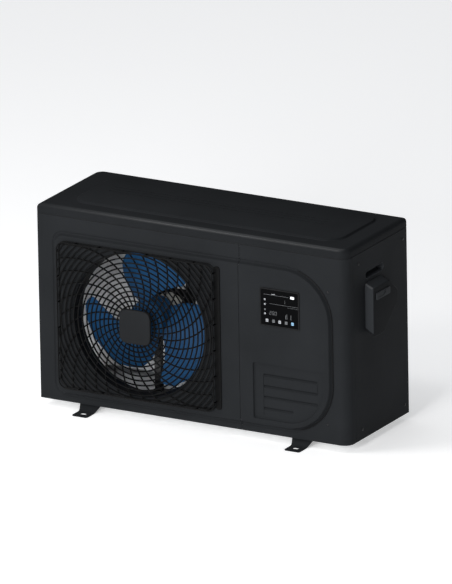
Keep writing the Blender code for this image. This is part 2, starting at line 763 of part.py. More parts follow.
def make_blade(blade, mats):
    out_steps, round_steps = 6, 6
    bm = bmesh.new()
    grid = []
    for i in range(out_steps + 1):
        row = []
        for j in range(round_steps + 1):
            share_out = i / out_steps
            share_round = 0.5 + (j / round_steps - 0.5) * blade_width(share_out)
            spot = blade_point(share_out, share_round, blade)
            half = Vector((0, BLADE_THICK / 2, 0))
            row.append((bm.verts.new(spot - half), bm.verts.new(spot + half)))
        grid.append(row)
    for i in range(out_steps):
        for j in range(round_steps):
            cell = (grid[i][j], grid[i][j + 1], grid[i + 1][j + 1], grid[i + 1][j])
            for side in (0, 1):
                bm.faces.new([corner[side] for corner in cell])
    edge = [grid[0][j] for j in range(round_steps)]
    edge += [grid[i][round_steps] for i in range(out_steps)]
    edge += [grid[out_steps][j] for j in range(round_steps, 0, -1)]
    edge += [grid[i][0] for i in range(out_steps, 0, -1)]
    for here, onward in zip(edge, edge[1:] + edge[:1]):
        bm.faces.new((here[0], onward[0], onward[1], here[1]))
    return finish_mesh(f"blade_{blade}", bm, mats["blue"])


def blade_width(share_out):
    """The chord narrows towards the rounded tip corners."""
    return 1.0 - 0.30 * max(0.0, share_out - 0.80) ** 2 / 0.04


def make_impeller(mats):
    """Cup-shaped hub with a bored boss, joined to three swept blades."""
    depth = FAN_REAR - FAN_FRONT
    profile = [
        (SHAFT_RADIUS + 0.0001, 0.0), (0.030, 0.0), (HUB_RADIUS - 0.010, 0.001),
        (HUB_RADIUS - 0.002, 0.006), (HUB_RADIUS, 0.014), (HUB_RADIUS, depth - 0.006),
        (HUB_RADIUS - 0.003, depth - 0.006), (HUB_RADIUS - 0.003, 0.014),
        (0.016, 0.010), (0.014, 0.040), (SHAFT_RADIUS + 0.0001, 0.040),
    ]
    hub = turned("fan_impeller", profile, (FAN_X, FAN_FRONT, FAN_Z), "Y", mats["blue"],
                 steps=24, ring=True)
    for blade in range(BLADES):
        join(hub, make_blade(blade, mats))
    return hub


MOTOR_FRONT = FAN_FRONT + 0.052
MOTOR_RADIUS = 0.046


def make_motor(mats):
    shaft = turned("motor_shaft", [(SHAFT_RADIUS - 0.0008, 0.0), (SHAFT_RADIUS, 0.001),
                                   (SHAFT_RADIUS, 0.089)],
                   (FAN_X, FAN_FRONT - 0.013, FAN_Z), "Y", mats["zinc"], steps=16)
    nut_bore = (SHAFT_RADIUS + 0.0003) / math.cos(math.pi / 6)
    nut = turned("fan_lock_nut", [(nut_bore, 0.0), (0.0125, 0.0), (0.0125, 0.007),
                                  (nut_bore, 0.007)],
                 (FAN_X, FAN_FRONT - 0.0073, FAN_Z), "Y", mats["zinc"], steps=6, ring=True)
    bore = SHAFT_RADIUS + 0.0006
    length = POST_FRONT - GAP - MOTOR_FRONT
    housing = turned("fan_motor", [
        (bore, 0.0), (0.018, 0.0), (0.018, 0.006), (MOTOR_RADIUS - 0.004, 0.008),
        (MOTOR_RADIUS, 0.012), (MOTOR_RADIUS, length - 0.012),
        (MOTOR_RADIUS - 0.004, length - 0.006),
        (0.030, length - 0.004), (0.030, length), (0.004, length), (0.004, 0.045), (bore, 0.045),
    ], (FAN_X, MOTOR_FRONT, FAN_Z), "Y", mats["ceramic"], steps=20, ring=True)
    return shaft, nut, housing


POST_OFFSET = 0.054
POST_WIDTH = 0.020
BRACKET_SHEET = 0.002


def make_motor_bracket(mats):
    """Two channel posts from the base pan up, bridged by the plate that carries the motor."""
    base = PAN_TOP + GAP
    top = COIL_HIGH - 0.004
    depth = 0.018
    bracket = block("motor_bracket", (FAN_X - POST_OFFSET - 0.006, FAN_X + POST_OFFSET + 0.006),
                    (POST_FRONT, POST_FRONT + BRACKET_SHEET), (FAN_Z - 0.055, FAN_Z + 0.055),
                    mats["guard"])
    foot = block("bracket_foot", (FAN_X - POST_OFFSET - 0.020, FAN_X + POST_OFFSET + 0.020),
                 (POST_FRONT - 0.010, POST_FRONT + 0.030), (base, base + BRACKET_SHEET),
                 mats["guard"])
    for side in (-1, 1):
        x = FAN_X + side * POST_OFFSET
        post = block(f"bracket_post_{side}", (x - POST_WIDTH / 2, x + POST_WIDTH / 2),
                     (POST_FRONT + 0.0005, POST_FRONT + depth), (base + 0.0005, top),
                     mats["guard"])
        join(bracket, post)
    return join(bracket, foot)


# ---------------------------------------------------------------- coil and refrigerant circuit

TUBE_RADIUS = 0.0045
COIL_END_X = REAR_SPLIT - 0.010
COIL_END_Y = FRONT + 0.070
HAIRPINS = 6


def make_coil(mats):
    """L-shaped finned block along the rear and the left side, with its two end plates."""
    outer_turn, inner_turn = 0.045, 0.045 - COIL_THICKNESS
    outline = rounded([
        (COIL_END_X, COIL_REAR, 0), (COIL_LEFT, COIL_REAR, outer_turn),
        (COIL_LEFT, COIL_END_Y, 0), (COIL_LEFT + COIL_THICKNESS, COIL_END_Y, 0),
        (COIL_LEFT + COIL_THICKNESS, COIL_REAR - COIL_THICKNESS, inner_turn),
        (COIL_END_X, COIL_REAR - COIL_THICKNESS, 0),
    ], 6)
    fins = plate("evaporator_coil", outline, level, COIL_LOW, COIL_HIGH, mats["fins"])
    front_plate = block("coil_end_plate_front", (COIL_LEFT, COIL_LEFT + COIL_THICKNESS),
                        (COIL_END_Y - GAP - SHEET, COIL_END_Y - GAP),
                        (PAN_TOP + GAP, COIL_HIGH), mats["zinc"])
    header_x = COIL_END_X + GAP
    rear_plate = block("coil_end_plate_rear", (header_x, header_x + SHEET),
                       (COIL_REAR - COIL_THICKNESS, COIL_REAR), (PAN_TOP + GAP, COIL_HIGH),
                       mats["zinc"])
    pitch = (COIL_HIGH - COIL_LOW) / (HAIRPINS * 2)
    y = COIL_REAR - COIL_THICKNESS / 2
    for k in range(HAIRPINS):
        low = COIL_LOW + pitch * (2 * k + 0.5)
        reach = header_x + SHEET + 0.020
        bend = pipe(f"return_bend_{k}", [(header_x + SHEET / 2, y, low), (reach, y, low),
                                         (reach, y, low + pitch),
                                         (header_x + SHEET / 2, y, low + pitch)],
                    0.012, TUBE_RADIUS, mats["copper"], sides=6, steps=2)
        join(rear_plate, bend)
    return fins, front_plate, rear_plate


COMPRESSOR = (LEFT + 0.765, -0.005)
COMPRESSOR_RADIUS = 0.058
COMPRESSOR_LOW = 0.050
COMPRESSOR_HIGH = 0.300
ACCUMULATOR = (LEFT + 0.708, 0.088)
ACCUMULATOR_RADIUS = 0.027


def make_compressor(mats):
    x, y = COMPRESSOR
    shell = turned("compressor", [
        (0.020, COMPRESSOR_LOW), (0.046, COMPRESSOR_LOW), (COMPRESSOR_RADIUS, 0.066),
        (COMPRESSOR_RADIUS, 0.278), (0.050, 0.291), (0.030, COMPRESSOR_HIGH - 0.002),
        (0.012, COMPRESSOR_HIGH), (0.012, COMPRESSOR_HIGH + 0.008),
    ], (x, y, 0), "Z", mats["steel"])
    foot = rounded([(x + 0.088 * math.cos(a), y + 0.088 * math.sin(a), 0.022)
                    for a in foot_angles()], 4)
    join(shell, plate("compressor_foot", foot, level, COMPRESSOR_LOW - 0.002,
                      COMPRESSOR_LOW + 0.002, mats["steel"]))
    grommets = []
    for k, angle in enumerate(foot_angles()):
        spot = (x + 0.062 * math.cos(angle), y + 0.062 * math.sin(angle), 0)
        grommets.append(turned(f"compressor_grommet_{k + 1}", [
            (0.014, PAN_TOP + GAP), (0.012, PAN_TOP + 0.010),
            (0.014, COMPRESSOR_LOW - 0.002 - GAP),
        ], spot, "Z", mats["rubber"], steps=16))
    return shell, grommets


def foot_angles():
    return [math.radians(90 + 120 * k) for k in range(3)]


def make_accumulator(mats):
    """Upright canister brazed to the suction elbow that runs under it to the compressor."""
    x, y = ACCUMULATOR
    can = turned("accumulator", [
        (0.007, 0.088), (0.010, 0.090), (0.022, 0.096), (ACCUMULATOR_RADIUS, 0.108),
        (ACCUMULATOR_RADIUS, 0.262), (0.022, 0.274), (0.010, 0.280), (0.007, 0.282),
    ], (x, y, 0), "Z", mats["steel"], steps=20)
    low_z, inlet_z = 0.062, 0.110
    elbow_x, elbow_y = COMPRESSOR
    elbow = pipe("suction_elbow", [(x, y, 0.094), (x, y, low_z), (elbow_x, y, low_z),
                                   (elbow_x, y, inlet_z),
                                   (elbow_x, elbow_y + COMPRESSOR_RADIUS + 0.0006, inlet_z)],
                 0.014, 0.006, mats["copper"])
    return join(can, elbow)


EXCHANGER = (UNION_X, 0.074)
EXCHANGER_RADIUS = 0.060
EXCHANGER_LOW = PAN_TOP + GAP
EXCHANGER_HIGH = 0.410


def make_exchanger(mats):
    """Upright water vessel with domed ends on a foot ring, and its clamp band."""
    vessel = turned("heat_exchanger", [
        (0.048, EXCHANGER_LOW), (0.050, 0.052), (0.056, 0.060), (EXCHANGER_RADIUS, 0.075),
        (EXCHANGER_RADIUS, 0.375), (0.054, 0.392), (0.040, 0.403), (0.018, EXCHANGER_HIGH),
    ], (*EXCHANGER, 0), "Z", mats["vessel"])
    inner, height = EXCHANGER_RADIUS + GAP, 0.282
    band = turned("exchanger_band", [
        (inner, height), (inner + 0.0015, height), (inner + 0.0015, height + 0.018),
        (inner, height + 0.018),
    ], (*EXCHANGER, 0), "Z", mats["zinc"], ring=True)
    return vessel, band


VALVE = (LEFT + 0.715, 0.020, 0.385)


def make_four_way_valve(mats):
    """Brass body lying along X with three stubs below and one above."""
    x, y, z = VALVE
    body = turned("four_way_valve", [(0.006, 0.0), (0.011, 0.003), (0.011, 0.067),
                                     (0.006, 0.070)],
                  (x - 0.035, y, z), "X", mats["brass"], steps=14)
    for k in (-1, 0, 1):
        stub = turned(f"valve_stub_{k}", [(0.0055, -0.030), (0.0055, -0.004)],
                      (x + 0.020 * k, y, z), "Z", mats["copper"], steps=10)
        join(body, stub)
    top = turned("valve_stub_top", [(0.0055, 0.004), (0.0055, 0.024)], (x, y, z), "Z",
                 mats["copper"], steps=10)
    coil = block("valve_solenoid", (x + 0.020, x + 0.044), (y - 0.030, y - 0.006),
                 (z - 0.010, z + 0.014), mats["black"], 0.003)
    return join(join(body, top), coil)


def make_pipes(mats):
    """Discharge, suction, liquid and coil pipes with clearance at every joint face."""
    x, y, z = VALVE
    step = 0.0006
    top = COMPRESSOR_HIGH + 0.008 + step
    discharge = pipe("discharge_pipe", [(*COMPRESSOR, top), (*COMPRESSOR, 0.440),
                                        (x, y, 0.440), (x, y, z + 0.024 + step)],
                     0.018, 0.005, mats["copper"])
    acc_x, acc_y = ACCUMULATOR
    suction = pipe("suction_pipe", [(acc_x, acc_y, 0.282 + step), (acc_x, acc_y, 0.330),
                                    (x, y, 0.330), (x, y, z - 0.030 - step)],
                   0.014, 0.005, mats["copper"])
    end_x = COIL_END_X + GAP + SHEET + 0.0005
    coil_y = COIL_REAR - COIL_THICKNESS / 2
    coil_line = pipe("coil_gas_pipe", [(end_x, coil_y, COIL_HIGH - 0.006),
                                       (x - 0.020, coil_y, COIL_HIGH - 0.006),
                                       (x - 0.020, coil_y, 0.345), (x - 0.020, y, 0.345),
                                       (x - 0.020, y, z - 0.030 - step)],
                     0.008, 0.0045, mats["copper"])
    hot_x = EXCHANGER[0]
    exchanger_gas = pipe("exchanger_gas_pipe", [(x + 0.020, y, z - 0.030 - step),
                                                (x + 0.020, y, 0.318),
                                                (x + 0.020, -0.070, 0.318),
                                                (hot_x, -0.070, 0.318),
                                                (hot_x, EXCHANGER[1] - EXCHANGER_RADIUS - step,
                                                 0.318)],
                         0.012, 0.005, mats["copper"])
    return discharge, suction, coil_line, exchanger_gas


def make_expansion_valve(mats):
    """Valve body with its round head, brazed to the liquid line that runs to the vessel."""
    x, y, z = LEFT + 0.700, 0.140, 0.180
    body = turned("expansion_valve", [(0.008, 0.0), (0.008, 0.020), (0.0155, 0.021),
                                      (0.0155, 0.045), (0.006, 0.047)],
                  (x, y, z), "Z", mats["brass"], steps=16)
    line_y = 0.110
    line_z = 0.130
    line = pipe("liquid_line", [(x, y, z + 0.004), (x, y, line_z),
                                (LEFT + 0.780, line_y, line_z), (LEFT + 0.8285, line_y, line_z)],
                0.012, 0.004, mats["copper"])
    return join(body, line)


# ---------------------------------------------------------------- water side

STUB_END = REAR + 0.014
SEAL_THICK = 0.0022
TAIL_FLANGE = 0.0045
TAIL_END = REAR + 0.0490
NUT_RADIUS = 0.0365
NUT_LOW = REAR + 0.0022
NUT_HIGH = REAR + 0.0260


def make_union(label, height, mats):
    """Threaded stub, seal, captive nut and tailpiece on one line along Y."""
    vessel_face = EXCHANGER[1] + EXCHANGER_RADIUS + 0.0006
    centre = (UNION_X, 0, height)
    stub = turned(f"{label}_stub", [
        (PIPE_BORE, vessel_face), (PIPE_RADIUS, vessel_face),
        (PIPE_RADIUS, REAR + 0.0014), (THREAD_RADIUS - GAP, REAR + 0.0018),
        (THREAD_RADIUS - GAP, STUB_END), (PIPE_BORE, STUB_END),
    ], centre, "Y", mats["vessel"], ring=True)
    seal_low = STUB_END + GAP
    seal = turned(f"{label}_seal", [
        (PIPE_BORE + 0.0005, seal_low), (PIPE_RADIUS + 0.0025, seal_low),
        (PIPE_RADIUS + 0.0025, seal_low + SEAL_THICK), (PIPE_BORE + 0.0005, seal_low + SEAL_THICK),
    ], centre, "Y", mats["rubber"], ring=True)
    flange_low = seal_low + SEAL_THICK + GAP
    flange_high = flange_low + TAIL_FLANGE
    tail = turned(f"{label}_tailpiece", [
        (PIPE_BORE, flange_low), (PIPE_RADIUS + 0.0035, flange_low),
        (PIPE_RADIUS + 0.0035, flange_high), (PIPE_RADIUS, flange_high),
        (PIPE_RADIUS, TAIL_END), (PIPE_BORE, TAIL_END),
    ], centre, "Y", mats["vessel"], ring=True)
    lip = flange_high + GAP
    nut = turned(f"{label}_union_nut", [
        (THREAD_RADIUS + 0.0004, NUT_LOW), (NUT_RADIUS - 0.001, NUT_LOW),
        (NUT_RADIUS, NUT_LOW + 0.001), (NUT_RADIUS, NUT_HIGH - 0.002),
        (NUT_RADIUS - 0.002, NUT_HIGH), (PIPE_RADIUS + 0.0006, NUT_HIGH),
        (PIPE_RADIUS + 0.0006, lip), (THREAD_RADIUS + 0.0004, lip),
    ], centre, "Y", mats["black"], ring=True)
    for k in range(6):
        angle = math.tau * k / 6
        rib = block(f"{label}_nut_rib_{k}",
                    (UNION_X + (NUT_RADIUS - 0.0008) * math.cos(angle) - 0.003,
                     UNION_X + (NUT_RADIUS - 0.0008) * math.cos(angle) + 0.003),
                    (NUT_LOW + 0.002, NUT_HIGH - 0.004),
                    (height + (NUT_RADIUS - 0.0008) * math.sin(angle) - 0.003,
                     height + (NUT_RADIUS - 0.0008) * math.sin(angle) + 0.003),
                    mats["black"])
        join(nut, rib)
    return stub, seal, tail, nut


def make_drain_nozzle(mats):
    """Barbed spigot pushed up through the base pan."""
    return turned("drain_nozzle", [
        (0.0040, 0.0035), (0.0052, 0.0035), (0.0060, 0.0060), (0.0060, FLOOR - 0.004),
        (0.0110, FLOOR - 0.0035), (0.0110, FLOOR - GAP), (0.0060, FLOOR - GAP),
        (0.0060, PAN_TOP + GAP), (0.0085, PAN_TOP + GAP), (0.0085, PAN_TOP + 0.002),
        (0.0040, PAN_TOP + 0.002),
    ], (FAN_X, DRAIN_Y, 0), "Z", mats["black"], steps=14, ring=True)


FLOW_Y = 0.156
PADDLE_LENGTH = 0.016


def make_flow_switch(mats):
    """Switch head on the inlet stub's saddle; its paddle hangs in a small well."""
    z = INLET_Z + PIPE_RADIUS + 0.0006
    body = turned("flow_switch", [
        (0.0105, z), (0.0105, z + 0.022), (0.0135, z + 0.023), (0.0135, z + 0.048),
        (0.0095, z + 0.050),
    ], (UNION_X, FLOW_Y - 0.003, 0), "Z", mats["black"], steps=18)
    return body


def make_partition(mats):
    y_low = FRONT + GUARD_SHEET + SHEET + 3 * GAP
    y_high = COIL_REAR - COIL_THICKNESS - 0.002
    return block("partition_plate", (PARTITION_X, PARTITION_X + SHEET), (y_low, y_high),
                 (PAN_TOP + GAP, PANEL_HIGH), mats["zinc"])


# ---------------------------------------------------------------- controls and wiring

BOX_X = (LEFT + 0.690, LEFT + 0.960)
BOX_Y = (FRONT + 0.040, 0.050)
BOX_Z = (FLOOR + 0.452, FLOOR + 0.530)


def make_control_box(mats):
    """Open tray for the power board, its lid, the board with its capacitors and a heat sink."""
    wall = SHEET
    x, y, z = BOX_X, BOX_Y, BOX_Z

    def outline(inset):
        return box_outline(x[0] + inset, x[1] - inset, y[0] + inset, y[1] - inset, 0.004, 2)

    box = loft("control_box", [level(outline(wall), z[0] + wall), level(outline(wall), z[1]),
                               level(outline(0.0), z[1]), level(outline(0.0), z[0])],
               mats["zinc"])
    lid_low = z[1] + GAP
    lid = loft("control_box_lid", [
        level(outline(-GAP), lid_low), level(outline(-GAP), z[1] - 0.010),
        level(outline(-GAP - wall), z[1] - 0.010), level(outline(-GAP - wall), lid_low + wall),
    ], mats["zinc"])
    board_z = z[0] + wall + 0.008
    board = block("power_board", (x[0] + 0.012, x[1] - 0.070), (y[0] + 0.012, y[1] - 0.012),
                  (board_z, board_z + 0.0016), mats["board"])
    sink = make_heat_sink(x, y, z, mats)
    for k in range(3):
        join(board, turned(f"capacitor_{k + 1}", [
            (0.0145, board_z + 0.001), (0.0150, board_z + 0.004),
            (0.0150, board_z + 0.042), (0.0135, board_z + 0.044),
        ], (x[0] + 0.050 + 0.038 * k, y[0] + 0.045, 0), "Z", mats["black"], steps=16))
    return box, lid, board, sink


def make_heat_sink(x, y, z, mats):
    """Finned block under the box, in the air space above the compressor."""
    high = z[0] - GAP
    sink = block("heat_sink", (x[0] + 0.100, x[0] + 0.190), (y[0] + 0.080, y[1] - 0.020),
                 (high - 0.006, high), mats["fins"])
    for k in range(7):
        x_low = x[0] + 0.102 + 0.0137 * k
        join(sink, block(f"heat_sink_fin_{k}", (x_low, x_low + 0.002),
                         (y[0] + 0.0805, y[1] - 0.0205), (high - 0.022, high - 0.003),
                         mats["fins"]))
    return sink


def make_display(mats):
    """Bezel with its window, glass touch panel and the tray behind the sheet."""
    face = PLATEAU_FACE - GAP

    def outline(inset, radius):
        return box_outline(DISPLAY_X - DISPLAY_WIDTH / 2 + inset,
                           DISPLAY_X + DISPLAY_WIDTH / 2 - inset,
                           DISPLAY_Z - DISPLAY_HEIGHT / 2 + inset,
                           DISPLAY_Z + DISPLAY_HEIGHT / 2 - inset, radius)

    bezel = loft("display_bezel", [
        facing(outline(0.0, 0.0045), face), facing(outline(0.0, 0.0045), face - 0.0016),
        facing(outline(0.001, 0.0035), face - 0.0026), facing(outline(0.004, 0.002), face - 0.0026),
        facing(outline(0.004, 0.002), face - 0.0012), facing(outline(0.010, 0.002), face - 0.0012),
        facing(outline(0.010, 0.002), face),
    ], mats["black"], ring=True)
    glass = plate("display_glass", outline(0.0043, 0.0018), facing, face - 0.0027,
                  face - 0.0012 - GAP, mats["glass"])
    near, far = PLATEAU_BACK + GAP, PLATEAU_BACK + 0.0175
    housing = loft("display_housing", [
        facing(outline(0.0135, 0.002), far - SHEET), facing(outline(0.0135, 0.002), near),
        facing(outline(0.0115, 0.002), near), facing(outline(0.0115, 0.002), far - 0.0015),
        facing(outline(0.0130, 0.002), far),
    ], mats["black"])
    return bezel, glass, housing


def grip_outline(inset):
    return box_outline(FRONT + 0.108 + inset, FRONT + 0.216 - inset,
                       FLOOR + 0.466 + inset, FLOOR + 0.491 - inset, 0.011 - inset)


GRIP_DEPTH = 0.020


def make_grip_cup(mats):
    """Hand recess behind the side panel, above the wiring hood."""
    mouth = RIGHT - SHEET - GAP
    return loft("side_grip_cup", [
        sideways(grip_outline(0.002), mouth - GRIP_DEPTH + 0.0015),
        sideways(grip_outline(0.0), mouth), sideways(grip_outline(-0.004), mouth),
        sideways(grip_outline(-0.004), mouth - 0.0015),
        sideways(grip_outline(-0.0015), mouth - 0.0015),
        sideways(grip_outline(0.0005), mouth - GRIP_DEPTH),
    ], mats["black"])


def make_hood_latch(mats):
    """Finger clip along the upper edge of the hood's outer face."""
    outer = RIGHT + HOOD_REACH
    base = outer - LATCH_THICK + GAP

    def outline(inset):
        return box_outline(FRONT + 0.120 + inset, FRONT + 0.200 - inset, FLOOR + 0.406 + inset,
                           FLOOR + 0.427 - inset, 0.009 - inset)

    return loft("hood_latch", [sideways(outline(0.0), base), sideways(outline(0.0), outer - 0.001),
                               sideways(outline(0.001), outer)], mats["casing"])


def make_terminal_block(mats):
    """Stepped block of clamp terminals on the inner side of the right panel."""
    high = RIGHT - SHEET - GAP
    y_low, y_high = FRONT + 0.131, FRONT + 0.184
    base = block("terminal_block", (high - 0.006, high), (y_low - 0.016, y_high + 0.016),
                 (FLOOR + 0.342, FLOOR + 0.434), mats["ceramic"], 0.001)
    for k in range(5):
        z = FLOOR + 0.346 + 0.0175 * k
        join(base, block(f"terminal_{k}", (high - 0.022, high - 0.005), (y_low, y_high),
                         (z, z + 0.013), mats["ceramic"]))
    return base


def make_gland(mats):
    """Threaded gland through the rear panel with its flange and dome nut, bored for a cable."""
    return turned("power_gland", [
        (0.0055, REAR - 0.012), (0.0098, REAR - 0.012), (0.0098, REAR + GAP),
        (0.0140, REAR + GAP), (0.0140, REAR + 0.005), (0.0125, REAR + 0.0055),
        (0.0125, REAR + 0.016), (0.0085, REAR + 0.022), (0.0055, REAR + 0.022),
    ], (GLAND_X, 0, GLAND_Z), "Y", mats["black"], steps=20, ring=True)


PADDLE_PIVOT = 0.016


def make_flow_paddle(mats):
    """Light blade in the inlet bore, hung from a cross pin that is its turning axis."""
    y = FLOW_Y - 0.003
    pivot = INLET_Z + PADDLE_PIVOT
    blade = block("flow_paddle", (UNION_X - 0.006, UNION_X + 0.006), (y - 0.0005, y + 0.0005),
                  (pivot - PADDLE_LENGTH - 0.006, pivot), mats["brass"])
    pin = turned("paddle_pin", [(0.0012, -0.0075), (0.0012, 0.0075)], (UNION_X, y, pivot), "X",
                 mats["brass"], steps=10)
    return join(blade, pin)


# ---------------------------------------------------------------- assembly


def build():
    clear_scene()
    mats = make_materials()
    make_base_pan(mats)
    make_foot_rail("foot_rail_left", LEFT + 0.156, mats)
    make_foot_rail("foot_rail_right", LEFT + 0.850, mats)
    make_front_panel(mats)
    make_control_panel(mats)
    make_louvre_panel(mats)
    make_top_cover(mats)
    make_right_side_panel(mats)
    make_rear_panel(mats)
    make_rear_left_post(mats)
    make_coil_guards(mats)
    make_terminal_cover(mats)
    make_hood_latch(mats)
    make_grip_cup(mats)
    make_fan_guard(mats)
    make_guard_cap(mats)
    make_fan_shroud(mats)
    make_impeller(mats)
    make_motor(mats)
    make_motor_bracket(mats)
    make_coil(mats)
    make_compressor(mats)
    make_accumulator(mats)
    make_exchanger(mats)
    make_four_way_valve(mats)
    make_pipes(mats)
    make_expansion_valve(mats)
    make_union("inlet", INLET_Z, mats)
    make_union("outlet", OUTLET_Z, mats)
    make_drain_nozzle(mats)
    make_flow_switch(mats)
    make_flow_paddle(mats)
    make_partition(mats)
    make_control_box(mats)
    make_display(mats)
    make_terminal_block(mats)
    make_gland(mats)


build()
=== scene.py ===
"""Looks of the pool heat pump unit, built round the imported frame. All lengths are in metres."""
import math

import bmesh
import bpy
from mathutils import Matrix, Vector


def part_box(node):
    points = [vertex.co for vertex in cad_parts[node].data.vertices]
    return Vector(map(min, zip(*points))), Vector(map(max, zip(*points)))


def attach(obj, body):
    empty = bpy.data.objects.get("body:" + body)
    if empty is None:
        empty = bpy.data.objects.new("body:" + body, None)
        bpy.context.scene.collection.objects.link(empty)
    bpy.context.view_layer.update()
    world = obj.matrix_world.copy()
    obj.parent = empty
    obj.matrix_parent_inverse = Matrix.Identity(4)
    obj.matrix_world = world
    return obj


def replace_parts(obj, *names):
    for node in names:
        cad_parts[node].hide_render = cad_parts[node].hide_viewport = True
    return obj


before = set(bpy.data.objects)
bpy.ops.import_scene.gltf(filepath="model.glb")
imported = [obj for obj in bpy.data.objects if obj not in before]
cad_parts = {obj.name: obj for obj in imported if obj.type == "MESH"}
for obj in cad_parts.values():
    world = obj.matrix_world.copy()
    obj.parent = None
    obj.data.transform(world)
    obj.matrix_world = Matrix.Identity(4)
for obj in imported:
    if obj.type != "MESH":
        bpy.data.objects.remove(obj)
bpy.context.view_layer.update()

# ---------------------------------------------------------------- places read from the frame

COVER_LOW, COVER_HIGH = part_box("top_cover")
LEFT, RIGHT = COVER_LOW.x, COVER_HIGH.x
FRONT, REAR = COVER_LOW.y, COVER_HIGH.y
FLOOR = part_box("base_pan")[0].z
SKIRT_LOW = COVER_LOW.z
CASE_HEIGHT = 0.583
TOP = FLOOR + CASE_HEIGHT
SHEET = 0.0015
CORNER = 0.030
SHARP_CORNER = 0.006
PLAN_STEPS = 14
PANEL_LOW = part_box("front_panel")[0].z
PANEL_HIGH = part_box("front_panel")[1].z
PLATEAU_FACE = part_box("front_panel")[0].y
PLATEAU_BACK = PLATEAU_FACE + SHEET
PANEL_SEAM = (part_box("front_panel")[1].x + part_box("control_panel")[0].x) / 2
SHAFT_LOW, SHAFT_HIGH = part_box("motor_shaft")
FAN_X, _, FAN_Z = (SHAFT_LOW + SHAFT_HIGH) / 2
ORIFICE_RADIUS = 0.218
HOOD_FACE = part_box("terminal_cover")[1].x

# ---------------------------------------------------------------- outlines and solids


def rounded(corners, steps=8):
    """Outline through (x, y, radius) corners, each rounded by an arc of `steps` chords."""
    points = []
    for i, (x, y, radius) in enumerate(corners):
        here = Vector((x, y))
        if radius == 0:
            points.append(here)
            continue
        before = (Vector(corners[i - 1][:2]) - here).normalized()
        after = (Vector(corners[(i + 1) % len(corners)][:2]) - here).normalized()
        half = before.angle(after) / 2
        centre = here + (before + after).normalized() * (radius / math.sin(half))
        start = here + before * (radius / math.tan(half)) - centre
        end = here + after * (radius / math.tan(half)) - centre
        turn = start.angle(end)
        for k in range(steps + 1):
            part = k / steps
            arm = start * math.sin((1 - part) * turn) + end * math.sin(part * turn)
            points.append(centre + arm / math.sin(turn))
    return points


def box_outline(x_low, x_high, y_low, y_high, radii, steps=8):
    """Rounded rectangle; radii start at the low-low corner and run anticlockwise."""
    if not isinstance(radii, (list, tuple)):
        radii = (radii,) * 4
    corners = ((x_low, y_low), (x_high, y_low), (x_high, y_high), (x_low, y_high))
    return rounded([(x, y, radius) for (x, y), radius in zip(corners, radii)], steps)


def front_outline(low, high, inset, radii, steps=8):
    """Rounded rectangle filling a box seen from the front, less an inset all round."""
    return box_outline(low.x + inset, high.x - inset, low.z + inset, high.z - inset, radii,
                       steps)


def side_outline(low, high, inset, radii, steps=8):
    """Rounded rectangle filling a box seen from its side, less an inset all round."""
    return box_outline(low.y + inset, high.y - inset, low.z + inset, high.z - inset, radii,
                       steps)


def eased(share):
    """Smooth step: 0 to 1 with flat ends."""
    return share * share * (3 - 2 * share)


def quarter_turn(steps):
    """Pairs (1 - cos, 1 - sin) through a right angle, for rounded edges."""
    angles = [math.radians(90 * k / steps) for k in range(steps + 1)]
    return [(1 - math.cos(angle), 1 - math.sin(angle)) for angle in angles]


def heading(angle):
    """Arrow of unit length at an angle."""
    return Vector((math.cos(angle), math.sin(angle)))


def level(points, z):
    """Flat outline laid level at a height."""
    return [Vector((p[0], p[1], z)) for p in points]


def facing(points, y):
    """Flat outline stood up to face the front or the rear."""
    return [Vector((p[0], y, p[1])) for p in points]


def sideways(points, x):
    """Flat outline stood up to face a side."""
    return [Vector((x, p[0], p[1])) for p in points]


def stacked(outline, place, *pairs):
    """Loops of one shape at (inset, depth) pairs."""
    return [place(outline(inset), depth) for inset, depth in pairs]


def add_mesh(name, bm, material, sharp_degrees=32, tidy=True):
    if tidy:
        bmesh.ops.recalc_face_normals(bm, faces=bm.faces)
    mesh = bpy.data.meshes.new(name)
    bm.to_mesh(mesh)
    bm.free()
    mesh.materials.append(material)
    mesh.shade_smooth()
    mesh.set_sharp_from_angle(angle=math.radians(sharp_degrees))
    item = bpy.data.objects.new(name, mesh)
    bpy.context.scene.collection.objects.link(item)
    return item


def add_loft(bm, loops, ring=False):
    """Skin through loops of equal point count; ring joins the last loop to the first."""
    rows = [[bm.verts.new(point) for point in loop] for loop in loops]
    pairs = list(zip(rows, rows[1:]))
    if ring:
        pairs.append((rows[-1], rows[0]))
    for low, high in pairs:
        for i in range(len(low)):
            j = (i + 1) % len(low)
            bm.faces.new((low[i], low[j], high[j], high[i]))
    if not ring:
        bm.faces.new(reversed(rows[0]))
        bm.faces.new(rows[-1])


def loft(name, loops, material, ring=False):
    bm = bmesh.new()
    add_loft(bm, loops, ring)
    return add_mesh(name, bm, material)


def plate(name, points, place, low, high, material):
    return loft(name, [place(points, low), place(points, high)], material)


def soft_plate(name, outline, place, low, high, edge, material):
    """Flat piece whose outer edge at `high` is rounded; outline(inset) gives its shape."""
    turn = 1 if high > low else -1
    loops = stacked(outline, place, (0.0, low))
    for inward, downward in quarter_turn(4):
        loops.append(place(outline(edge * inward), high - turn * edge * downward))
    return loft(name, loops, material)


AXES = {
    "X": (Vector((0, 1, 0)), Vector((0, 0, 1)), Vector((1, 0, 0))),
    "Y": (Vector((0, 0, 1)), Vector((1, 0, 0)), Vector((0, 1, 0))),
    "Z": (Vector((1, 0, 0)), Vector((0, 1, 0)), Vector((0, 0, 1))),
}


def turned_loops(profile, centre, axis, steps):
    across, upward, along = AXES[axis]
    loops = []
    for radius, reach in profile:
        loop = []
        for i in range(steps):
            angle = math.tau * i / steps
            arm = across * math.cos(angle) + upward * math.sin(angle)
            loop.append(Vector(centre) + along * reach + arm * radius)
        loops.append(loop)
    return loops


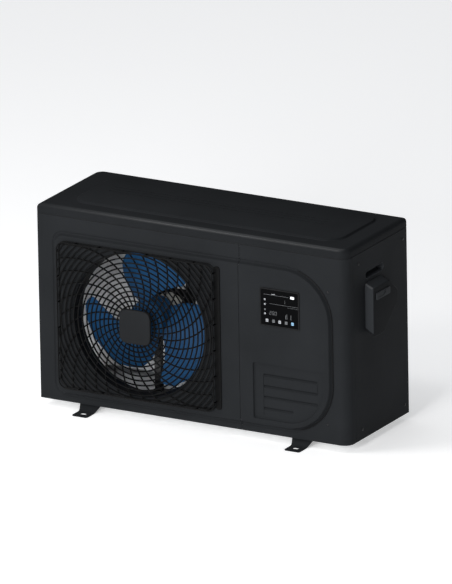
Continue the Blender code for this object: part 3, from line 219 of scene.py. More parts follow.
def turned(name, profile, centre, axis, material, steps=64, ring=False):
    """Round piece from (radius, distance along axis) pairs; ring closes a bored profile."""
    return loft(name, turned_loops(profile, centre, axis, steps), material, ring)


def add_wire(bm, path, radius, sides=8, closed=False):
    """Round wire along a list of points, with flat ends unless it is closed."""
    count = len(path)
    first = path[1] - (path[-1] if closed else path[0])
    tangent = first.normalized()
    across = tangent.orthogonal().normalized()
    loops = []
    for i, place in enumerate(path):
        ahead = path[(i + 1) % count] if closed else path[min(i + 1, count - 1)]
        behind = path[i - 1] if closed else path[max(i - 1, 0)]
        onward = (ahead - behind).normalized()
        across = (tangent.rotation_difference(onward) @ across).normalized()
        tangent = onward
        upward = tangent.cross(across)
        loops.append([place + (across * math.cos(math.tau * k / sides)
                               + upward * math.sin(math.tau * k / sides)) * radius
                      for k in range(sides)])
    add_loft(bm, loops, ring=closed)


def combine(item, tool, operation):
    """Boolean applied at once; the helper solid is then removed."""
    modifier = item.modifiers.new("combine", "BOOLEAN")
    modifier.operation = operation
    modifier.object = tool
    bpy.context.view_layer.update()
    graph = bpy.context.evaluated_depsgraph_get()
    made = bpy.data.meshes.new_from_object(item.evaluated_get(graph))
    item.modifiers.clear()
    old, item.data = item.data, made
    bpy.data.meshes.remove(old)
    made.shade_smooth()
    made.set_sharp_from_angle(angle=math.radians(32))
    bpy.data.objects.remove(tool, do_unlink=True)
    return item


def cut(item, tool):
    return combine(item, tool, "DIFFERENCE")


def join(item, tool):
    return combine(item, tool, "UNION")


def fit_wires(name, bm, material, slot="guard"):
    """Finished wire work, carried by the casing."""
    return fit(add_mesh(name, bm, material, tidy=False), "casing", slot)


def bore(item, centre, radius, steps):
    """Round hole through an upright sheet, along Y."""
    ends = [(radius, -0.05), (radius, 0.05)]
    return cut(item, turned("tool", ends, centre, "Y", item.data.materials[0], steps))


def punch(item, outline, place, low, high):
    """Opening cut through a piece between two depths."""
    return cut(item, plate("tool", outline, place, low, high, item.data.materials[0]))


def fit(item, body, slot, *replaced):
    """Rides the piece on its body and hides the solids it stands for; the slot is not used."""
    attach(item, body)
    if replaced:
        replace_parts(item, *replaced)
    return item


# ---------------------------------------------------------------- materials


def link(tree, source, target):
    tree.links.new(source, target)


def add_node(tree, kind, **settings):
    node = tree.nodes.new(kind)
    for key, value in settings.items():
        setattr(node, key, value)
    return node


def noise(tree, scale, detail=3.0, stretch=(1, 1, 1)):
    """Noise value over the object's own coordinates; scale counts features to the metre."""
    place = add_node(tree, "ShaderNodeTexCoord")
    mapping = add_node(tree, "ShaderNodeMapping")
    mapping.inputs["Scale"].default_value = stretch
    texture = add_node(tree, "ShaderNodeTexNoise")
    texture.inputs["Scale"].default_value = scale
    texture.inputs["Detail"].default_value = detail
    link(tree, place.outputs["Object"], mapping.inputs["Vector"])
    link(tree, mapping.outputs["Vector"], texture.inputs["Vector"])
    return texture.outputs["Fac"]


def spread(tree, value, low, high, source_low=0.3, source_high=0.7):
    node = add_node(tree, "ShaderNodeMapRange")
    node.inputs["From Min"].default_value = source_low
    node.inputs["From Max"].default_value = source_high
    node.inputs["To Min"].default_value = low
    node.inputs["To Max"].default_value = high
    link(tree, value, node.inputs["Value"])
    return node.outputs["Result"]


def blend_colours(tree, share, first, second):
    """Mix of two colours, each given as a tuple or as a socket."""
    node = add_node(tree, "ShaderNodeMix", data_type="RGBA")
    link(tree, share, node.inputs["Factor"])
    for index, colour in ((6, first), (7, second)):
        if isinstance(colour, tuple):
            node.inputs[index].default_value = (*colour, 1.0)
        else:
            link(tree, colour, node.inputs[index])
    return node.outputs[2]


def scaled(colour, share):
    return tuple(channel * share for channel in colour)


def bumped(tree, shader, height, strength, depth):
    node = add_node(tree, "ShaderNodeBump")
    node.inputs["Strength"].default_value = strength
    node.inputs["Distance"].default_value = depth
    link(tree, height, node.inputs["Height"])
    link(tree, node.outputs["Normal"], shader.inputs["Normal"])


def surface(name, colour, roughness, metallic=0.0, grain=900.0, depth=0.00006, tint=0.12,
            mottle=5.0, stretch=(1, 1, 1), rough_swing=0.06, specular=0.5, bump=0.5):
    """Finish with slow colour variation, and fine grain in its roughness and its height."""
    material = bpy.data.materials.new(name)
    material.use_nodes = True
    tree = material.node_tree
    shader = tree.nodes["Principled BSDF"]
    shader.inputs["Metallic"].default_value = metallic
    shader.inputs["Specular IOR Level"].default_value = specular
    drift = spread(tree, noise(tree, mottle, 5.0), 0.0, 1.0)
    base = blend_colours(tree, drift, scaled(colour, 1 - tint), scaled(colour, 1 + tint))
    link(tree, base, shader.inputs["Base Color"])
    fine = noise(tree, grain, 3.0, stretch)
    link(tree, spread(tree, fine, roughness - rough_swing, roughness + rough_swing),
         shader.inputs["Roughness"])
    bumped(tree, shader, fine, bump, depth)
    return material


CASING_COLOUR = (0.0165, 0.0178, 0.0195)
# Faces turned this way get a glossier coat for a painted highlight on the lid and hood.
HIGHLIGHT_FACING = (0.0, -0.60, 0.80)
# Faces turned this way get painted light on the hood.
PAINTED_LIGHT_FACING = (0.05, -0.65, 0.76)


def multiplied(tree, first, second):
    node = add_node(tree, "ShaderNodeMath", operation="MULTIPLY")
    link(tree, first, node.inputs[0])
    link(tree, second, node.inputs[1])
    return node.outputs["Value"]


def facing_share(tree, direction, low, high):
    """Rises from 0 to 1 as a face turns towards a direction."""
    geometry = add_node(tree, "ShaderNodeNewGeometry")
    match = add_node(tree, "ShaderNodeVectorMath", operation="DOT_PRODUCT")
    link(tree, geometry.outputs["Normal"], match.inputs[0])
    match.inputs[1].default_value = direction
    return spread(tree, match.outputs["Value"], 0.0, 1.0, low, high)


def paint_light_on_lit_faces(material, colour):
    """Painted light: lighter colour on forward and upward faces, the side the lamps light."""
    tree = material.node_tree
    base = tree.nodes["Principled BSDF"].inputs["Base Color"]
    unlit_colour = base.links[0].from_socket
    share = facing_share(tree, PAINTED_LIGHT_FACING, 0.25, 0.62)
    link(tree, blend_colours(tree, share, unlit_colour, colour), base)
    return material


def gloss_for_painted_highlight(material, gloss, roughness, shoulder_only=False):
    """Painted highlight: a smoother, more reflective coat on upward front edges, where the edge
    lamp's highlight falls; on the lid it keeps to the shoulder and fades towards the left.
    """
    tree = material.node_tree
    shader = tree.nodes["Principled BSDF"]
    share = facing_share(tree, HIGHLIGHT_FACING, 0.86, 0.97)
    if shoulder_only:
        geometry = add_node(tree, "ShaderNodeNewGeometry")
        place = add_node(tree, "ShaderNodeSeparateXYZ")
        link(tree, geometry.outputs["Position"], place.inputs["Vector"])
        share = multiplied(tree, share, spread(tree, place.outputs["Z"], 1.0, 0.0,
                                               TOP - 0.0002, TOP + 0.0008))
        share = multiplied(tree, share, spread(tree, place.outputs["X"], 0.15, 1.0,
                                               LEFT + 0.02, LEFT + 0.40))
    for socket, value in (("Specular IOR Level", gloss), ("Roughness", roughness)):
        blend = add_node(tree, "ShaderNodeMix")
        link(tree, share, blend.inputs[0])
        if shader.inputs[socket].links:
            link(tree, shader.inputs[socket].links[0].from_socket, blend.inputs[2])
        else:
            blend.inputs[2].default_value = shader.inputs[socket].default_value
        blend.inputs[3].default_value = value
        link(tree, blend.outputs[0], shader.inputs[socket])
    return material


def make_finishes():
    """Every finish, by its short name; most casing parts share one coat and colour."""
    coat = {"grain": 700.0, "depth": 0.00012, "tint": 0.10, "specular": 0.015}
    colour = CASING_COLOUR
    return {
        # Lid: painted highlight along its front shoulder, fading towards the left.
        "lid": gloss_for_painted_highlight(surface("lid_powder_coat", scaled(colour, 0.85), 0.50, **coat),
                       0.22, 0.36, True),
        # Hood: darker base colour, with painted light on its forward and upward faces and a
        # painted highlight on its front edges.
        "hood": paint_light_on_lit_faces(gloss_for_painted_highlight(surface("hood_moulding", scaled(colour, 0.66), 0.48, **coat),
                               1.0, 0.24), scaled(colour, 1.75)),
        "cup": surface("recess_moulding", scaled(colour, 2.4), 0.60, **coat),
        "latch": surface("latch_moulding", (0.034, 0.036, 0.039), 0.45, **coat),
        "casing": surface("anthracite_powder_coat", colour, 0.50, **coat),
        "cap": surface("guard_cap_coat", scaled(colour, 0.80), 0.54, grain=800.0,
                       specular=0.05),
        "guard": surface("black_dipped_wire", (0.0016, 0.0017, 0.0019), 0.46, grain=600.0,
                         depth=0.00008, specular=0.10),
        "black": surface("black_moulded_plastic", (0.004, 0.004, 0.0045), 0.55, grain=1400.0,
                         specular=0.15),
        "blue": surface("blue_fan_plastic", (0.012, 0.070, 0.178), 0.50, grain=1100.0,
                        tint=0.08, mottle=9.0, specular=0.12),
        "glass": surface("black_backed_glass", (0.0012, 0.0013, 0.0016), 0.16, grain=250.0,
                         depth=0.00001, rough_swing=0.02, bump=0.15, specular=0.03),
        "fins": surface("bare_fin_stock", (0.86, 0.87, 0.88), 0.48, metallic=0.15,
                        tint=0.07, mottle=30.0, stretch=(6, 6, 0.4)),
        "zinc": surface("zinc_plated_sheet", (0.52, 0.53, 0.54), 0.36, metallic=1.0,
                        grain=260.0, tint=0.16, mottle=60.0),
        "copper": surface("drawn_copper", (0.72, 0.34, 0.20), 0.30, metallic=1.0,
                          grain=500.0, tint=0.20, mottle=25.0),
        "brass": surface("machined_brass", (0.70, 0.54, 0.26), 0.30, metallic=1.0,
                         grain=700.0, tint=0.10),
        "steel": surface("black_enamel", (0.010, 0.010, 0.011), 0.34, grain=500.0,
                         depth=0.0001),
        "rubber": surface("moulded_rubber", (0.012, 0.012, 0.012), 0.78, grain=1200.0,
                          depth=0.0002),
        "vessel": surface("grey_pvc", (0.050, 0.053, 0.057), 0.40, grain=800.0),
        "board": surface("solder_mask", (0.012, 0.080, 0.030), 0.35, grain=500.0, tint=0.2),
        "ceramic": surface("terminal_moulding", (0.56, 0.56, 0.52), 0.50),
        "fin_shade": surface("fin_root_shade", (0.50, 0.51, 0.52), 0.55, metallic=0.15,
                             tint=0.1),
        "screw": surface("blackened_screw", (0.022, 0.022, 0.024), 0.42, metallic=0.7),
        # White, soft white and pale blue: the display's lit legends drawn as plain colour, painted
        # light with no lamp behind them; the grey is unlit print.
        "white": surface("painted_lit_legend_white", (0.85, 0.87, 0.90), 0.35, tint=0.03),
        "soft": surface("painted_dim_lit_legend_white", (0.34, 0.35, 0.37), 0.38, tint=0.04),
        "faint": surface("printed_grey", (0.10, 0.105, 0.11), 0.40, tint=0.05),
        "cyan": surface("painted_lit_legend_pale_blue", (0.19, 0.36, 0.52), 0.35, tint=0.03),
    }


# ---------------------------------------------------------------- studio

VIEW_RIGHT = Vector((0.8710, 0.4912, -0.0167))
VIEW_BACK = Vector((0.4719, -0.8263, 0.3080))
FIELD_HEIGHT = 1.670
LENS = 1000.0
SENSOR = 36.0
CORNER_ACROSS = 0.5309
CORNER_BELOW = 0.3006


def make_camera():
    """Very long lens, so that edges stay parallel; aimed from the casing's lower left corner."""
    data = bpy.data.cameras.new("camera")
    data.lens = LENS
    data.sensor_width = SENSOR
    distance = FIELD_HEIGHT * LENS / SENSOR
    data.clip_start = 1.0
    data.clip_end = distance * 4
    camera = bpy.data.objects.new("camera", data)
    right = VIEW_RIGHT.normalized()
    back = VIEW_BACK.normalized()
    up = back.cross(right).normalized()
    turn = Matrix((right, up, back)).transposed()
    corner = Vector((LEFT, FRONT, FLOOR))
    aim = corner + right * CORNER_ACROSS + up * CORNER_BELOW
    camera.matrix_world = Matrix.Translation(aim + back * distance) @ turn.to_4x4()
    bpy.context.scene.collection.objects.link(camera)
    bpy.context.scene.camera = camera


def add_area_light(name, place, target, size, power, colour=(1, 1, 1)):
    data = bpy.data.lights.new(name, "AREA")
    data.shape = "RECTANGLE"
    data.size, data.size_y = size
    data.energy = power
    data.color = colour
    lamp = bpy.data.objects.new(name, data)
    lamp.location = place
    lamp.rotation_euler = (Vector(target) - Vector(place)).to_track_quat("-Z", "Y").to_euler()
    lamp.visible_camera = False
    bpy.context.scene.collection.objects.link(lamp)


SKY_COLOUR = (0.95, 0.97, 1.0, 1.0)
FLOOR_REACH = 30.0
FLOOR_GLOW = 0.34
STUDIO_AIM = (0.0, 0.0, 0.35)
STUDIO_LIGHTS = (
    ("key", (-2.9, -3.2, 2.7), (1.0, 1.0), 45.0, (1.0, 0.98, 0.95)),
    ("front", (0.62, -4.4, 1.6), (1.2, 1.2), 142.0, (1, 1, 1)),
    ("edge", (-2.0, -1.6, 3.9), (0.7, 0.7), 30.0, (1, 1, 1)),
    ("top", (0.2, 0.9, 3.2), (2.6, 1.4), 3.0, (1, 1, 1)),
)
COIL_LIGHTS = (
    ("coil_light_high", (FAN_X + 0.02, -0.075, TOP - 0.030), 0.10, (0.50, 0.05), 0.13),
    ("coil_light_low", (FAN_X + 0.02, -0.030, FLOOR + 0.060), -0.06, (0.50, 0.03), 0.40),
)


def make_world():
    """Soft surround: bright overhead, dimmer round the horizon and towards the right."""
    world = bpy.data.worlds.new("studio")
    world.use_nodes = True
    tree = world.node_tree
    place = add_node(tree, "ShaderNodeTexCoord")
    parts = add_node(tree, "ShaderNodeSeparateXYZ")
    link(tree, place.outputs["Generated"], parts.inputs["Vector"])
    height = spread(tree, parts.outputs["Z"], 0.05, 1.20, 0.25, 1.0)
    side = spread(tree, parts.outputs["X"], 1.20, 0.25, -0.8, 0.7)
    sky = tree.nodes["Background"]
    sky.inputs["Color"].default_value = SKY_COLOUR
    link(tree, multiplied(tree, height, side), sky.inputs["Strength"])
    bpy.context.scene.world = world


def make_studio():
    bpy.context.scene.view_settings.view_transform = "Standard"
    make_world()
    for name, place, size, power, colour in STUDIO_LIGHTS:
        add_area_light(name, place, STUDIO_AIM, size, power, colour)
    for name, place, upward, size, power in COIL_LIGHTS:
        add_area_light(name, place, (FAN_X, REAR - 0.038, FAN_Z + upward), size, power)
    floor = bpy.data.meshes.new("floor")
    corners = [(x * FLOOR_REACH, y * FLOOR_REACH, 0)
               for x, y in ((-1, -1), (1, -1), (1, 1), (-1, 1))]
    floor.from_pydata(corners, [], [(0, 1, 2, 3)])
    ground = bpy.data.objects.new("floor", floor)
    bpy.context.scene.collection.objects.link(ground)
    pale = surface("pale_floor", (0.90, 0.90, 0.90), 0.85, grain=60.0, tint=0.004,
                   mottle=0.8, specular=0.2, bump=0.1)
    glow = pale.node_tree.nodes["Principled BSDF"]
    glow.inputs["Emission Color"].default_value = (1.0, 1.0, 1.0, 1.0)
    glow.inputs["Emission Strength"].default_value = FLOOR_GLOW
    floor.materials.append(pale)


# ---------------------------------------------------------------- casing shells

PLATEAU_X = (LEFT + 0.058, LEFT + 0.957)
PLATEAU_Z = (FLOOR + 0.024, FLOOR + 0.504)
PLATEAU_RADII = (0.030, 0.148, 0.148, 0.030)
PLATEAU_SLOPE = 0.006
SLOPE_STEPS = 9
GROOVE_DEPTH = 0.002
GROOVE_WIDTH = 0.0085
LEFT_RETURN = 0.060
RIGHT_RETURN = 0.042


def plateau_outline(inset):
    radii = [radius - inset for radius in PLATEAU_RADII]
    return box_outline(PLATEAU_X[0] + inset, PLATEAU_X[1] - inset,
                       PLATEAU_Z[0] + inset, PLATEAU_Z[1] - inset, radii, 16)


def wrap_outline():
    """Plan of the front sheet: tight left corner, round right one, short side returns."""
    return rounded([
        (LEFT, FRONT + LEFT_RETURN, 0), (LEFT, FRONT, SHARP_CORNER),
        (RIGHT, FRONT, CORNER), (RIGHT, FRONT + RIGHT_RETURN, 0),
        (RIGHT - SHEET, FRONT + RIGHT_RETURN, 0),
        (RIGHT - SHEET, FRONT + SHEET, CORNER - SHEET),
        (LEFT + SHEET, FRONT + SHEET, SHARP_CORNER - SHEET),
        (LEFT + SHEET, FRONT + LEFT_RETURN, 0),
    ], 16)


def front_sheet(name, finish):
    """Sheet with a groove round its raised field; the field is hollow behind."""
    sheet = plate(name, wrap_outline(), level, PANEL_LOW, PANEL_HIGH, finish)
    punch(sheet, plateau_outline(0.0005 - GROOVE_WIDTH), facing, FRONT - 0.01, FRONT + 0.01)
    bottom = FRONT + GROOVE_DEPTH
    rise = bottom - PLATEAU_FACE
    loops = stacked(plateau_outline, facing,
                    (PLATEAU_SLOPE + SHEET, PLATEAU_BACK), (0.002, bottom + SHEET),
                    (0.0025 - GROOVE_WIDTH, bottom + SHEET),
                    (-GROOVE_WIDTH, FRONT + SHEET / 2), (0.0008 - GROOVE_WIDTH, FRONT),
                    (0.0016 - GROOVE_WIDTH, FRONT + 0.0003),
                    (0.0030 - GROOVE_WIDTH, bottom - 0.0003),
                    (0.0040 - GROOVE_WIDTH, bottom))
    for k in range(SLOPE_STEPS + 1):
        share = k / SLOPE_STEPS
        loops.append(facing(plateau_outline((PLATEAU_SLOPE + 0.0015) * share - 0.0010),
                            bottom - rise * eased(share)))
    join(sheet, loft("raised_field", loops, finish))
    return sheet


def half_space(x_low, x_high, finish):
    return plate("half_space", box_outline(x_low, x_high, FRONT - 0.1, REAR, 0), level,
                 -0.1, TOP + 0.1, finish)


SEAM_HALF = 0.0006


def make_seals(finish):
    """Foam strips behind the joints: under the lid's skirt, and behind the upright seam."""
    low, high = PANEL_HIGH - 0.006, SKIRT_LOW + 0.010
    loops = stacked(casing_outline, level, (0.0019, low), (0.0019, high), (0.0034, high),
                    (0.0034, low))
    fit(loft("lid_seal", loops, finish, ring=True), "casing", "rubber")
    spans = ((PANEL_LOW + 0.004, PLATEAU_Z[0] - 0.012, FRONT + SHEET),
             (PLATEAU_Z[0] + 0.012, PLATEAU_Z[1] - 0.012, PLATEAU_BACK),
             (PLATEAU_Z[1] + 0.012, PANEL_HIGH - 0.008, FRONT + SHEET))
    for index, (low, high, y) in enumerate(spans):
        strip = box_outline(PANEL_SEAM - 0.008, PANEL_SEAM + 0.008, low, high, 0.001)
        fit(plate(f"seam_seal_{index}", strip, facing, y + 0.0004, y + 0.0020, finish),
            "casing", "rubber")


def make_painted_shade_cord(finish):
    """Thin dark cord lying in the groove round the right end of the raised field: painted shade,
    darkening the groove where the field's right-facing slope lies in shade.
    """
    ring = plateau_outline(-0.0030)
    path = facing([p for p in ring if p.x > PLATEAU_X[1] - 0.110],
                  FRONT + GROOVE_DEPTH - 0.0012)
    bm = bmesh.new()
    add_wire(bm, path, 0.0015, 8)
    fit_wires("edge_cord", bm, finish, "rubber")


def make_front_panel(finish):
    panel = front_sheet("front_panel_shell", finish)
    cut(panel, half_space(PANEL_SEAM - SEAM_HALF, RIGHT + 0.1, finish))
    bore(panel, (FAN_X, FRONT, FAN_Z), ORIFICE_RADIUS, 128)
    return fit(panel, "casing", "casing", "front_panel")


def make_orifice_lip(finish):
    """Rolled edge that turns the panel inward round the air opening."""
    roll = 0.0045
    profile = []
    for inward, downward in quarter_turn(6):
        profile.append((ORIFICE_RADIUS + 0.0010 - roll * (1 - downward),
                        roll * inward - 0.0004))
    profile += [(ORIFICE_RADIUS - roll + 0.001, 0.012), (ORIFICE_RADIUS - roll + 0.0022, 0.012),
                (ORIFICE_RADIUS + 0.0004, 0.0055), (ORIFICE_RADIUS + 0.0008, 0.0018)]
    lip = turned("orifice_lip", profile, (FAN_X, PLATEAU_FACE, FAN_Z), "Y", finish, 128, ring=True)
    return fit(lip, "casing", "casing")


LOUVRE_LOW, LOUVRE_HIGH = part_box("louvre_panel")
LOUVRE_RIM = 0.007
LOUVRE_SINK = 0.0035


def louvre_outline(inset):
    """Opening for the service plate; a negative inset gives the plate's hidden rim."""
    small = max(0.006 - inset, 0.001)
    inset += LOUVRE_RIM
    radii = (small, 0.125 - inset, small, small)
    return front_outline(LOUVRE_LOW, LOUVRE_HIGH, inset, radii, 16)


BEZEL_LOW, BEZEL_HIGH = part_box("display_bezel")


def make_control_panel(finish):
    panel = front_sheet("control_panel_shell", finish)
    cut(panel, half_space(LEFT - 0.1, PANEL_SEAM + SEAM_HALF, finish))
    window = front_outline(BEZEL_LOW, BEZEL_HIGH, 0.0065, 0.004)
    for opening in (window, louvre_outline(0.0)):
        punch(panel, opening, facing, FRONT - 0.05, FRONT + 0.05)
    return fit(panel, "casing", "casing", "control_panel")


LOUVRE_ROWS = ((0.177, 0.912), (0.143, 0.912), (0.111, 0.912), (0.077, 0.832))
LOUVRE_START = 0.737


def make_louvre_panel(finish, dark):
    """Sunk service plate: rim behind the sheet, rounded walls and slots with turned-in lips."""
    base = LOUVRE_LOW.y
    face = base + LOUVRE_SINK
    back = LOUVRE_HIGH.y
    panel = loft("louvre_plate", stacked(
        louvre_outline, facing, (-LOUVRE_RIM, back), (-LOUVRE_RIM, base), (-0.0002, base),
        (0.0006, base + 0.0006), (0.0010, face - 0.0008), (0.0020, face)), finish)
    lips = bmesh.new()
    for height, end in LOUVRE_ROWS:
        z = FLOOR + height
        for inset, low, high in ((0.0, face + 0.0006, back + 0.02),
                                 (-0.0012, face - 0.02, face + 0.0007)):
            slot = box_outline(LEFT + LOUVRE_START + inset, LEFT + end - inset,
                               z - 0.0035 + inset, z + 0.0035 - inset, 0.003)
            punch(panel, slot, facing, low, high)
        add_lip(lips, LEFT + LOUVRE_START, LEFT + end, z, back)
    first, second = LOUVRE_ROWS[0], LOUVRE_ROWS[1]
    grooves = ((LOUVRE_START, 0.058, first[0]), (first[1], second[0], first[0]))
    for x, low, high in grooves:
        groove = box_outline(LEFT + x - 0.0011, LEFT + x + 0.0011, FLOOR + low, FLOOR + high,
                             0.001)
        punch(panel, groove, facing, face - 0.02, face + 0.0010)
    fit(panel, "casing", "casing", "louvre_panel")
    fit(add_mesh("louvre_lips", lips, finish), "casing", "casing")
    backing = plate("vent_gauze", louvre_outline(0.0115), facing, back + 0.0085,
                    back + 0.0095, dark)
    fit(backing, "casing", "black")


def add_lip(bm, x_low, x_high, z, back):
    """Slat behind a slot: leans up and back from the slot's lower edge."""
    outline = [(back, z - 0.0035), (back + 0.0010, z - 0.0035), (back + 0.0075, z + 0.0030),
               (back + 0.0075, z + 0.0042), (back + 0.0065, z + 0.0042), (back, z - 0.0023)]
    add_loft(bm, [sideways(outline, x) for x in (x_low, x_high)])


def casing_outline(inset):
    """Plan of the casing, less an inset all round."""
    radii = [max(radius - inset, 0.002)
             for radius in (SHARP_CORNER, CORNER, SHARP_CORNER, CORNER)]
    return box_outline(LEFT + inset, RIGHT - inset, FRONT + inset, REAR - inset, radii,
                       PLAN_STEPS)


COVER_EDGE = 0.014
COVER_RISE = COVER_HIGH.z - TOP
FIELD_X = (LEFT + 0.078, RIGHT - 0.057)
FIELD_Y = (FRONT + 0.053, REAR - 0.036)
FIELD_CORNER = 0.058
COVER_GROOVES = (0.176, 0.196, 0.214)
COVER_GROOVE_HALF = 0.0022


def field_outline(inset):
    """Plan of the lid's raised field, less an inset all round."""
    return box_outline(FIELD_X[0] + inset, FIELD_X[1] - inset, FIELD_Y[0] + inset,
                       FIELD_Y[1] - inset, FIELD_CORNER - inset, PLAN_STEPS)


def make_top_cover(finish):
    """Lid with a rounded shoulder, a hemmed lower edge and a raised, ribbed field."""
    low = SKIRT_LOW
    loops = stacked(field_outline, level, (0.012, TOP + COVER_RISE - SHEET),
                    (SHEET, TOP - SHEET))
    loops += stacked(casing_outline, level, (COVER_EDGE, TOP - SHEET),
                     (SHEET, TOP - COVER_EDGE), (SHEET, low), (0.0005, low),
                     (0.0, low + 0.0006))
    for inward, downward in quarter_turn(8):
        loops.append(level(casing_outline(COVER_EDGE * inward), TOP - COVER_EDGE * downward))
    loops.append(level(field_outline(-0.001), TOP))
    for k in range(7):
        share = k / 6
        loops.append(level(field_outline(0.007 * share), TOP + COVER_RISE * eased(share)))
    cover = loft("top_cover_shell", loops, finish)
    for y in COVER_GROOVES:
        groove = box_outline(FIELD_X[0] + 0.060, FIELD_X[1] - 0.110,
                             FRONT + y - COVER_GROOVE_HALF, FRONT + y + COVER_GROOVE_HALF,
                             0.0021, 6)
        punch(cover, groove, level, TOP + COVER_RISE - 0.0009, TOP + COVER_RISE + 0.01)
    return fit(cover, "casing", "casing", "top_cover")


def make_side_panel(finish):
    """Right side and its return round the tight rear corner."""
    low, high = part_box("right_side_panel")
    outline = rounded([
        (RIGHT, low.y, 0), (RIGHT, REAR, SHARP_CORNER), (low.x, REAR, 0),
        (low.x, REAR - SHEET, 0),
        (RIGHT - SHEET, REAR - SHEET, SHARP_CORNER - SHEET), (RIGHT - SHEET, low.y, 0),
    ], 8)
    panel = plate("right_side_shell", outline, level, low.z, high.z, finish)
    window = box_outline(FRONT + 0.125, FRONT + 0.190, FLOOR + 0.340, FLOOR + 0.435, 0.010)
    for opening in (window, grip_outline(0.0)):
        punch(panel, opening, sideways, RIGHT - 0.05, RIGHT + 0.05)
    return fit(panel, "casing", "casing", "right_side_panel")


def grip_outline(inset):
    low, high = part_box("side_grip_cup")
    flange = 0.004
    return side_outline(low, high, flange + inset, 0.011 - inset, 10)


HOOD_DROP = 0.011
HOOD_LIFT = 0.014


def hood_outline(drop=0.0, lift=0.0):
    """Side outline of the wiring hood: upright front, sloping lower rear edge."""
    low, high = FLOOR + 0.298 + lift, FLOOR + 0.456 - drop
    return rounded([
        (FRONT + 0.104, low, 0.016), (FRONT + 0.165, low, 0.020),
        (FRONT + 0.248, low + 0.069, 0.030), (FRONT + 0.252, high - 0.044, 0.022),
        (FRONT + 0.200, high, 0.024), (FRONT + 0.104, high, 0.009),
    ], 8)


def shrunk(outline, inset):
    """Outline moved inward square to its own edges."""
    moved = []
    for i, point in enumerate(outline):
        ahead = (outline[(i + 1) % len(outline)] - point)
        behind = (point - outline[i - 1])
        ahead = ahead.normalized() if ahead.length > 1e-9 else behind.normalized()
        behind = behind.normalized() if behind.length > 1e-9 else ahead
        onward = (ahead + behind).normalized()
        moved.append(point + Vector((-onward.y, onward.x)) * inset)
    return moved


def make_hood(finish, latch_finish):
    """Moulded wiring hood: top and underside slope towards a soft-edged outer face."""
    low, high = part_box("terminal_cover")
    edge = 0.0040
    wall = 0.0025
    reach = high.x - low.x
    loops = [sideways(shrunk(hood_outline(0.0, HOOD_LIFT), wall), low.x),
             sideways(shrunk(hood_outline(0.0, HOOD_LIFT), 0.0003), low.x),
             sideways(shrunk(hood_outline(0.0, HOOD_LIFT), 0.0001), low.x + 0.0006)]
    for inward, downward in quarter_turn(8):
        x = high.x - edge * downward
        share = (x - low.x) / reach
        outline = hood_outline(HOOD_DROP * share, HOOD_LIFT * (1 - share) ** 1.5)
        loops.append(sideways(shrunk(outline, 0.0002 + edge * inward), x))
    hood = loft("wiring_hood", loops, finish)
    fit(hood, "casing", "casing", "terminal_cover")
    clip_low, clip_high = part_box("hood_latch")

    def clip_outline(inset):
        return side_outline(clip_low, clip_high, inset, 0.0045 - inset)

    clip = soft_plate("hood_clip", clip_outline, sideways, HOOD_FACE + 0.0002, clip_high.x,
                      0.0012, latch_finish)
    trough = box_outline(clip_low.y + 0.008, clip_low.y + 0.044, clip_low.z + 0.005,
                         clip_high.z - 0.005, 0.004, 8)
    notch = box_outline(clip_low.y + 0.044, clip_low.y + 0.050, clip_low.z + 0.0085,
                        clip_high.z + 0.01, 0.001, 2)
    for outline, depth in ((trough, 0.0011), (notch, 0.0016)):
        punch(clip, outline, sideways, clip_high.x - depth, clip_high.x + 0.01)
    fit(clip, "casing", "casing", "hood_latch")


def make_grip(finish):
    """Hand recess with a rounded rim that laps the side panel."""
    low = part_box("side_grip_cup")[0]
    wall = 0.002
    loops = stacked(grip_outline, sideways, (0.0004, RIGHT - 0.0002),
                    (0.0016, RIGHT - 0.0002), (0.0024, RIGHT - 0.0030),
                    (0.0040, low.x + 0.0060), (0.0070, low.x + wall),
                    (0.0120, low.x + wall), (0.0120, low.x), (0.0055, low.x),
                    (0.0020, low.x + 0.0060), (0.0004, RIGHT - 0.0040))
    cup = loft("hand_recess", loops, finish, ring=True)
    fit(cup, "casing", "black", "side_grip_cup")
    back = plate("recess_back", grip_outline(0.0118), sideways, low.x, low.x + wall, finish)
    fit(back, "casing", "black")


# ---------------------------------------------------------------- fan guard

GUARD_LOW, GUARD_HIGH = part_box("fan_guard")
GUARD_CORNER = 0.026
# Strip right of the guard's wires, filled by a dark flange: partly a real flange, partly painted
# shadow cast by the guard.
FLANGE_AND_SHADOW_REACH = 0.0155
GUARD_RIGHT = GUARD_HIGH.x - FLANGE_AND_SHADOW_REACH
WIRE = 0.0024
FRAME_WIRE = 0.0019
RING_PITCH = 0.0141
LEG_PITCH = 0.075
RING_START = 0.062
RING_LIMIT = 0.335
STEPS_TO_METRE = 700
SPOKE_START = 0.052
SPOKE_REACH = 0.285
SPOKE_STEPS = 33
SPOKES = 32
SPOKE_SWEEP = math.radians(-42)
CAP_LOW, CAP_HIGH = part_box("guard_hub_cap")


def guard_outline(inset, steps=12):
    return box_outline(GUARD_LOW.x + inset, GUARD_RIGHT - inset, GUARD_LOW.z + inset,
                       GUARD_HIGH.z - inset, max(GUARD_CORNER - inset, 0.004), steps)


def guard_depth(x, z):
    """Distance inside the guard's outer edge, negative outside it."""
    across = min(x - GUARD_LOW.x, GUARD_RIGHT - x)
    upward = min(z - GUARD_LOW.z, GUARD_HIGH.z - z)
    if across < GUARD_CORNER and upward < GUARD_CORNER:
        return GUARD_CORNER - math.hypot(GUARD_CORNER - across, GUARD_CORNER - upward)
    return min(across, upward)


def inside_runs(points, margin):
    """Stretches of a path lying inside the guard by at least the margin."""
    runs, current = [], []
    for point in points:
        if guard_depth(point.x, point.z) >= margin:
            current.append(point)
        else:
            if len(current) > 2:
                runs.append(current)
            current = []
    if len(current) > 2:
        runs.append(current)
    return runs


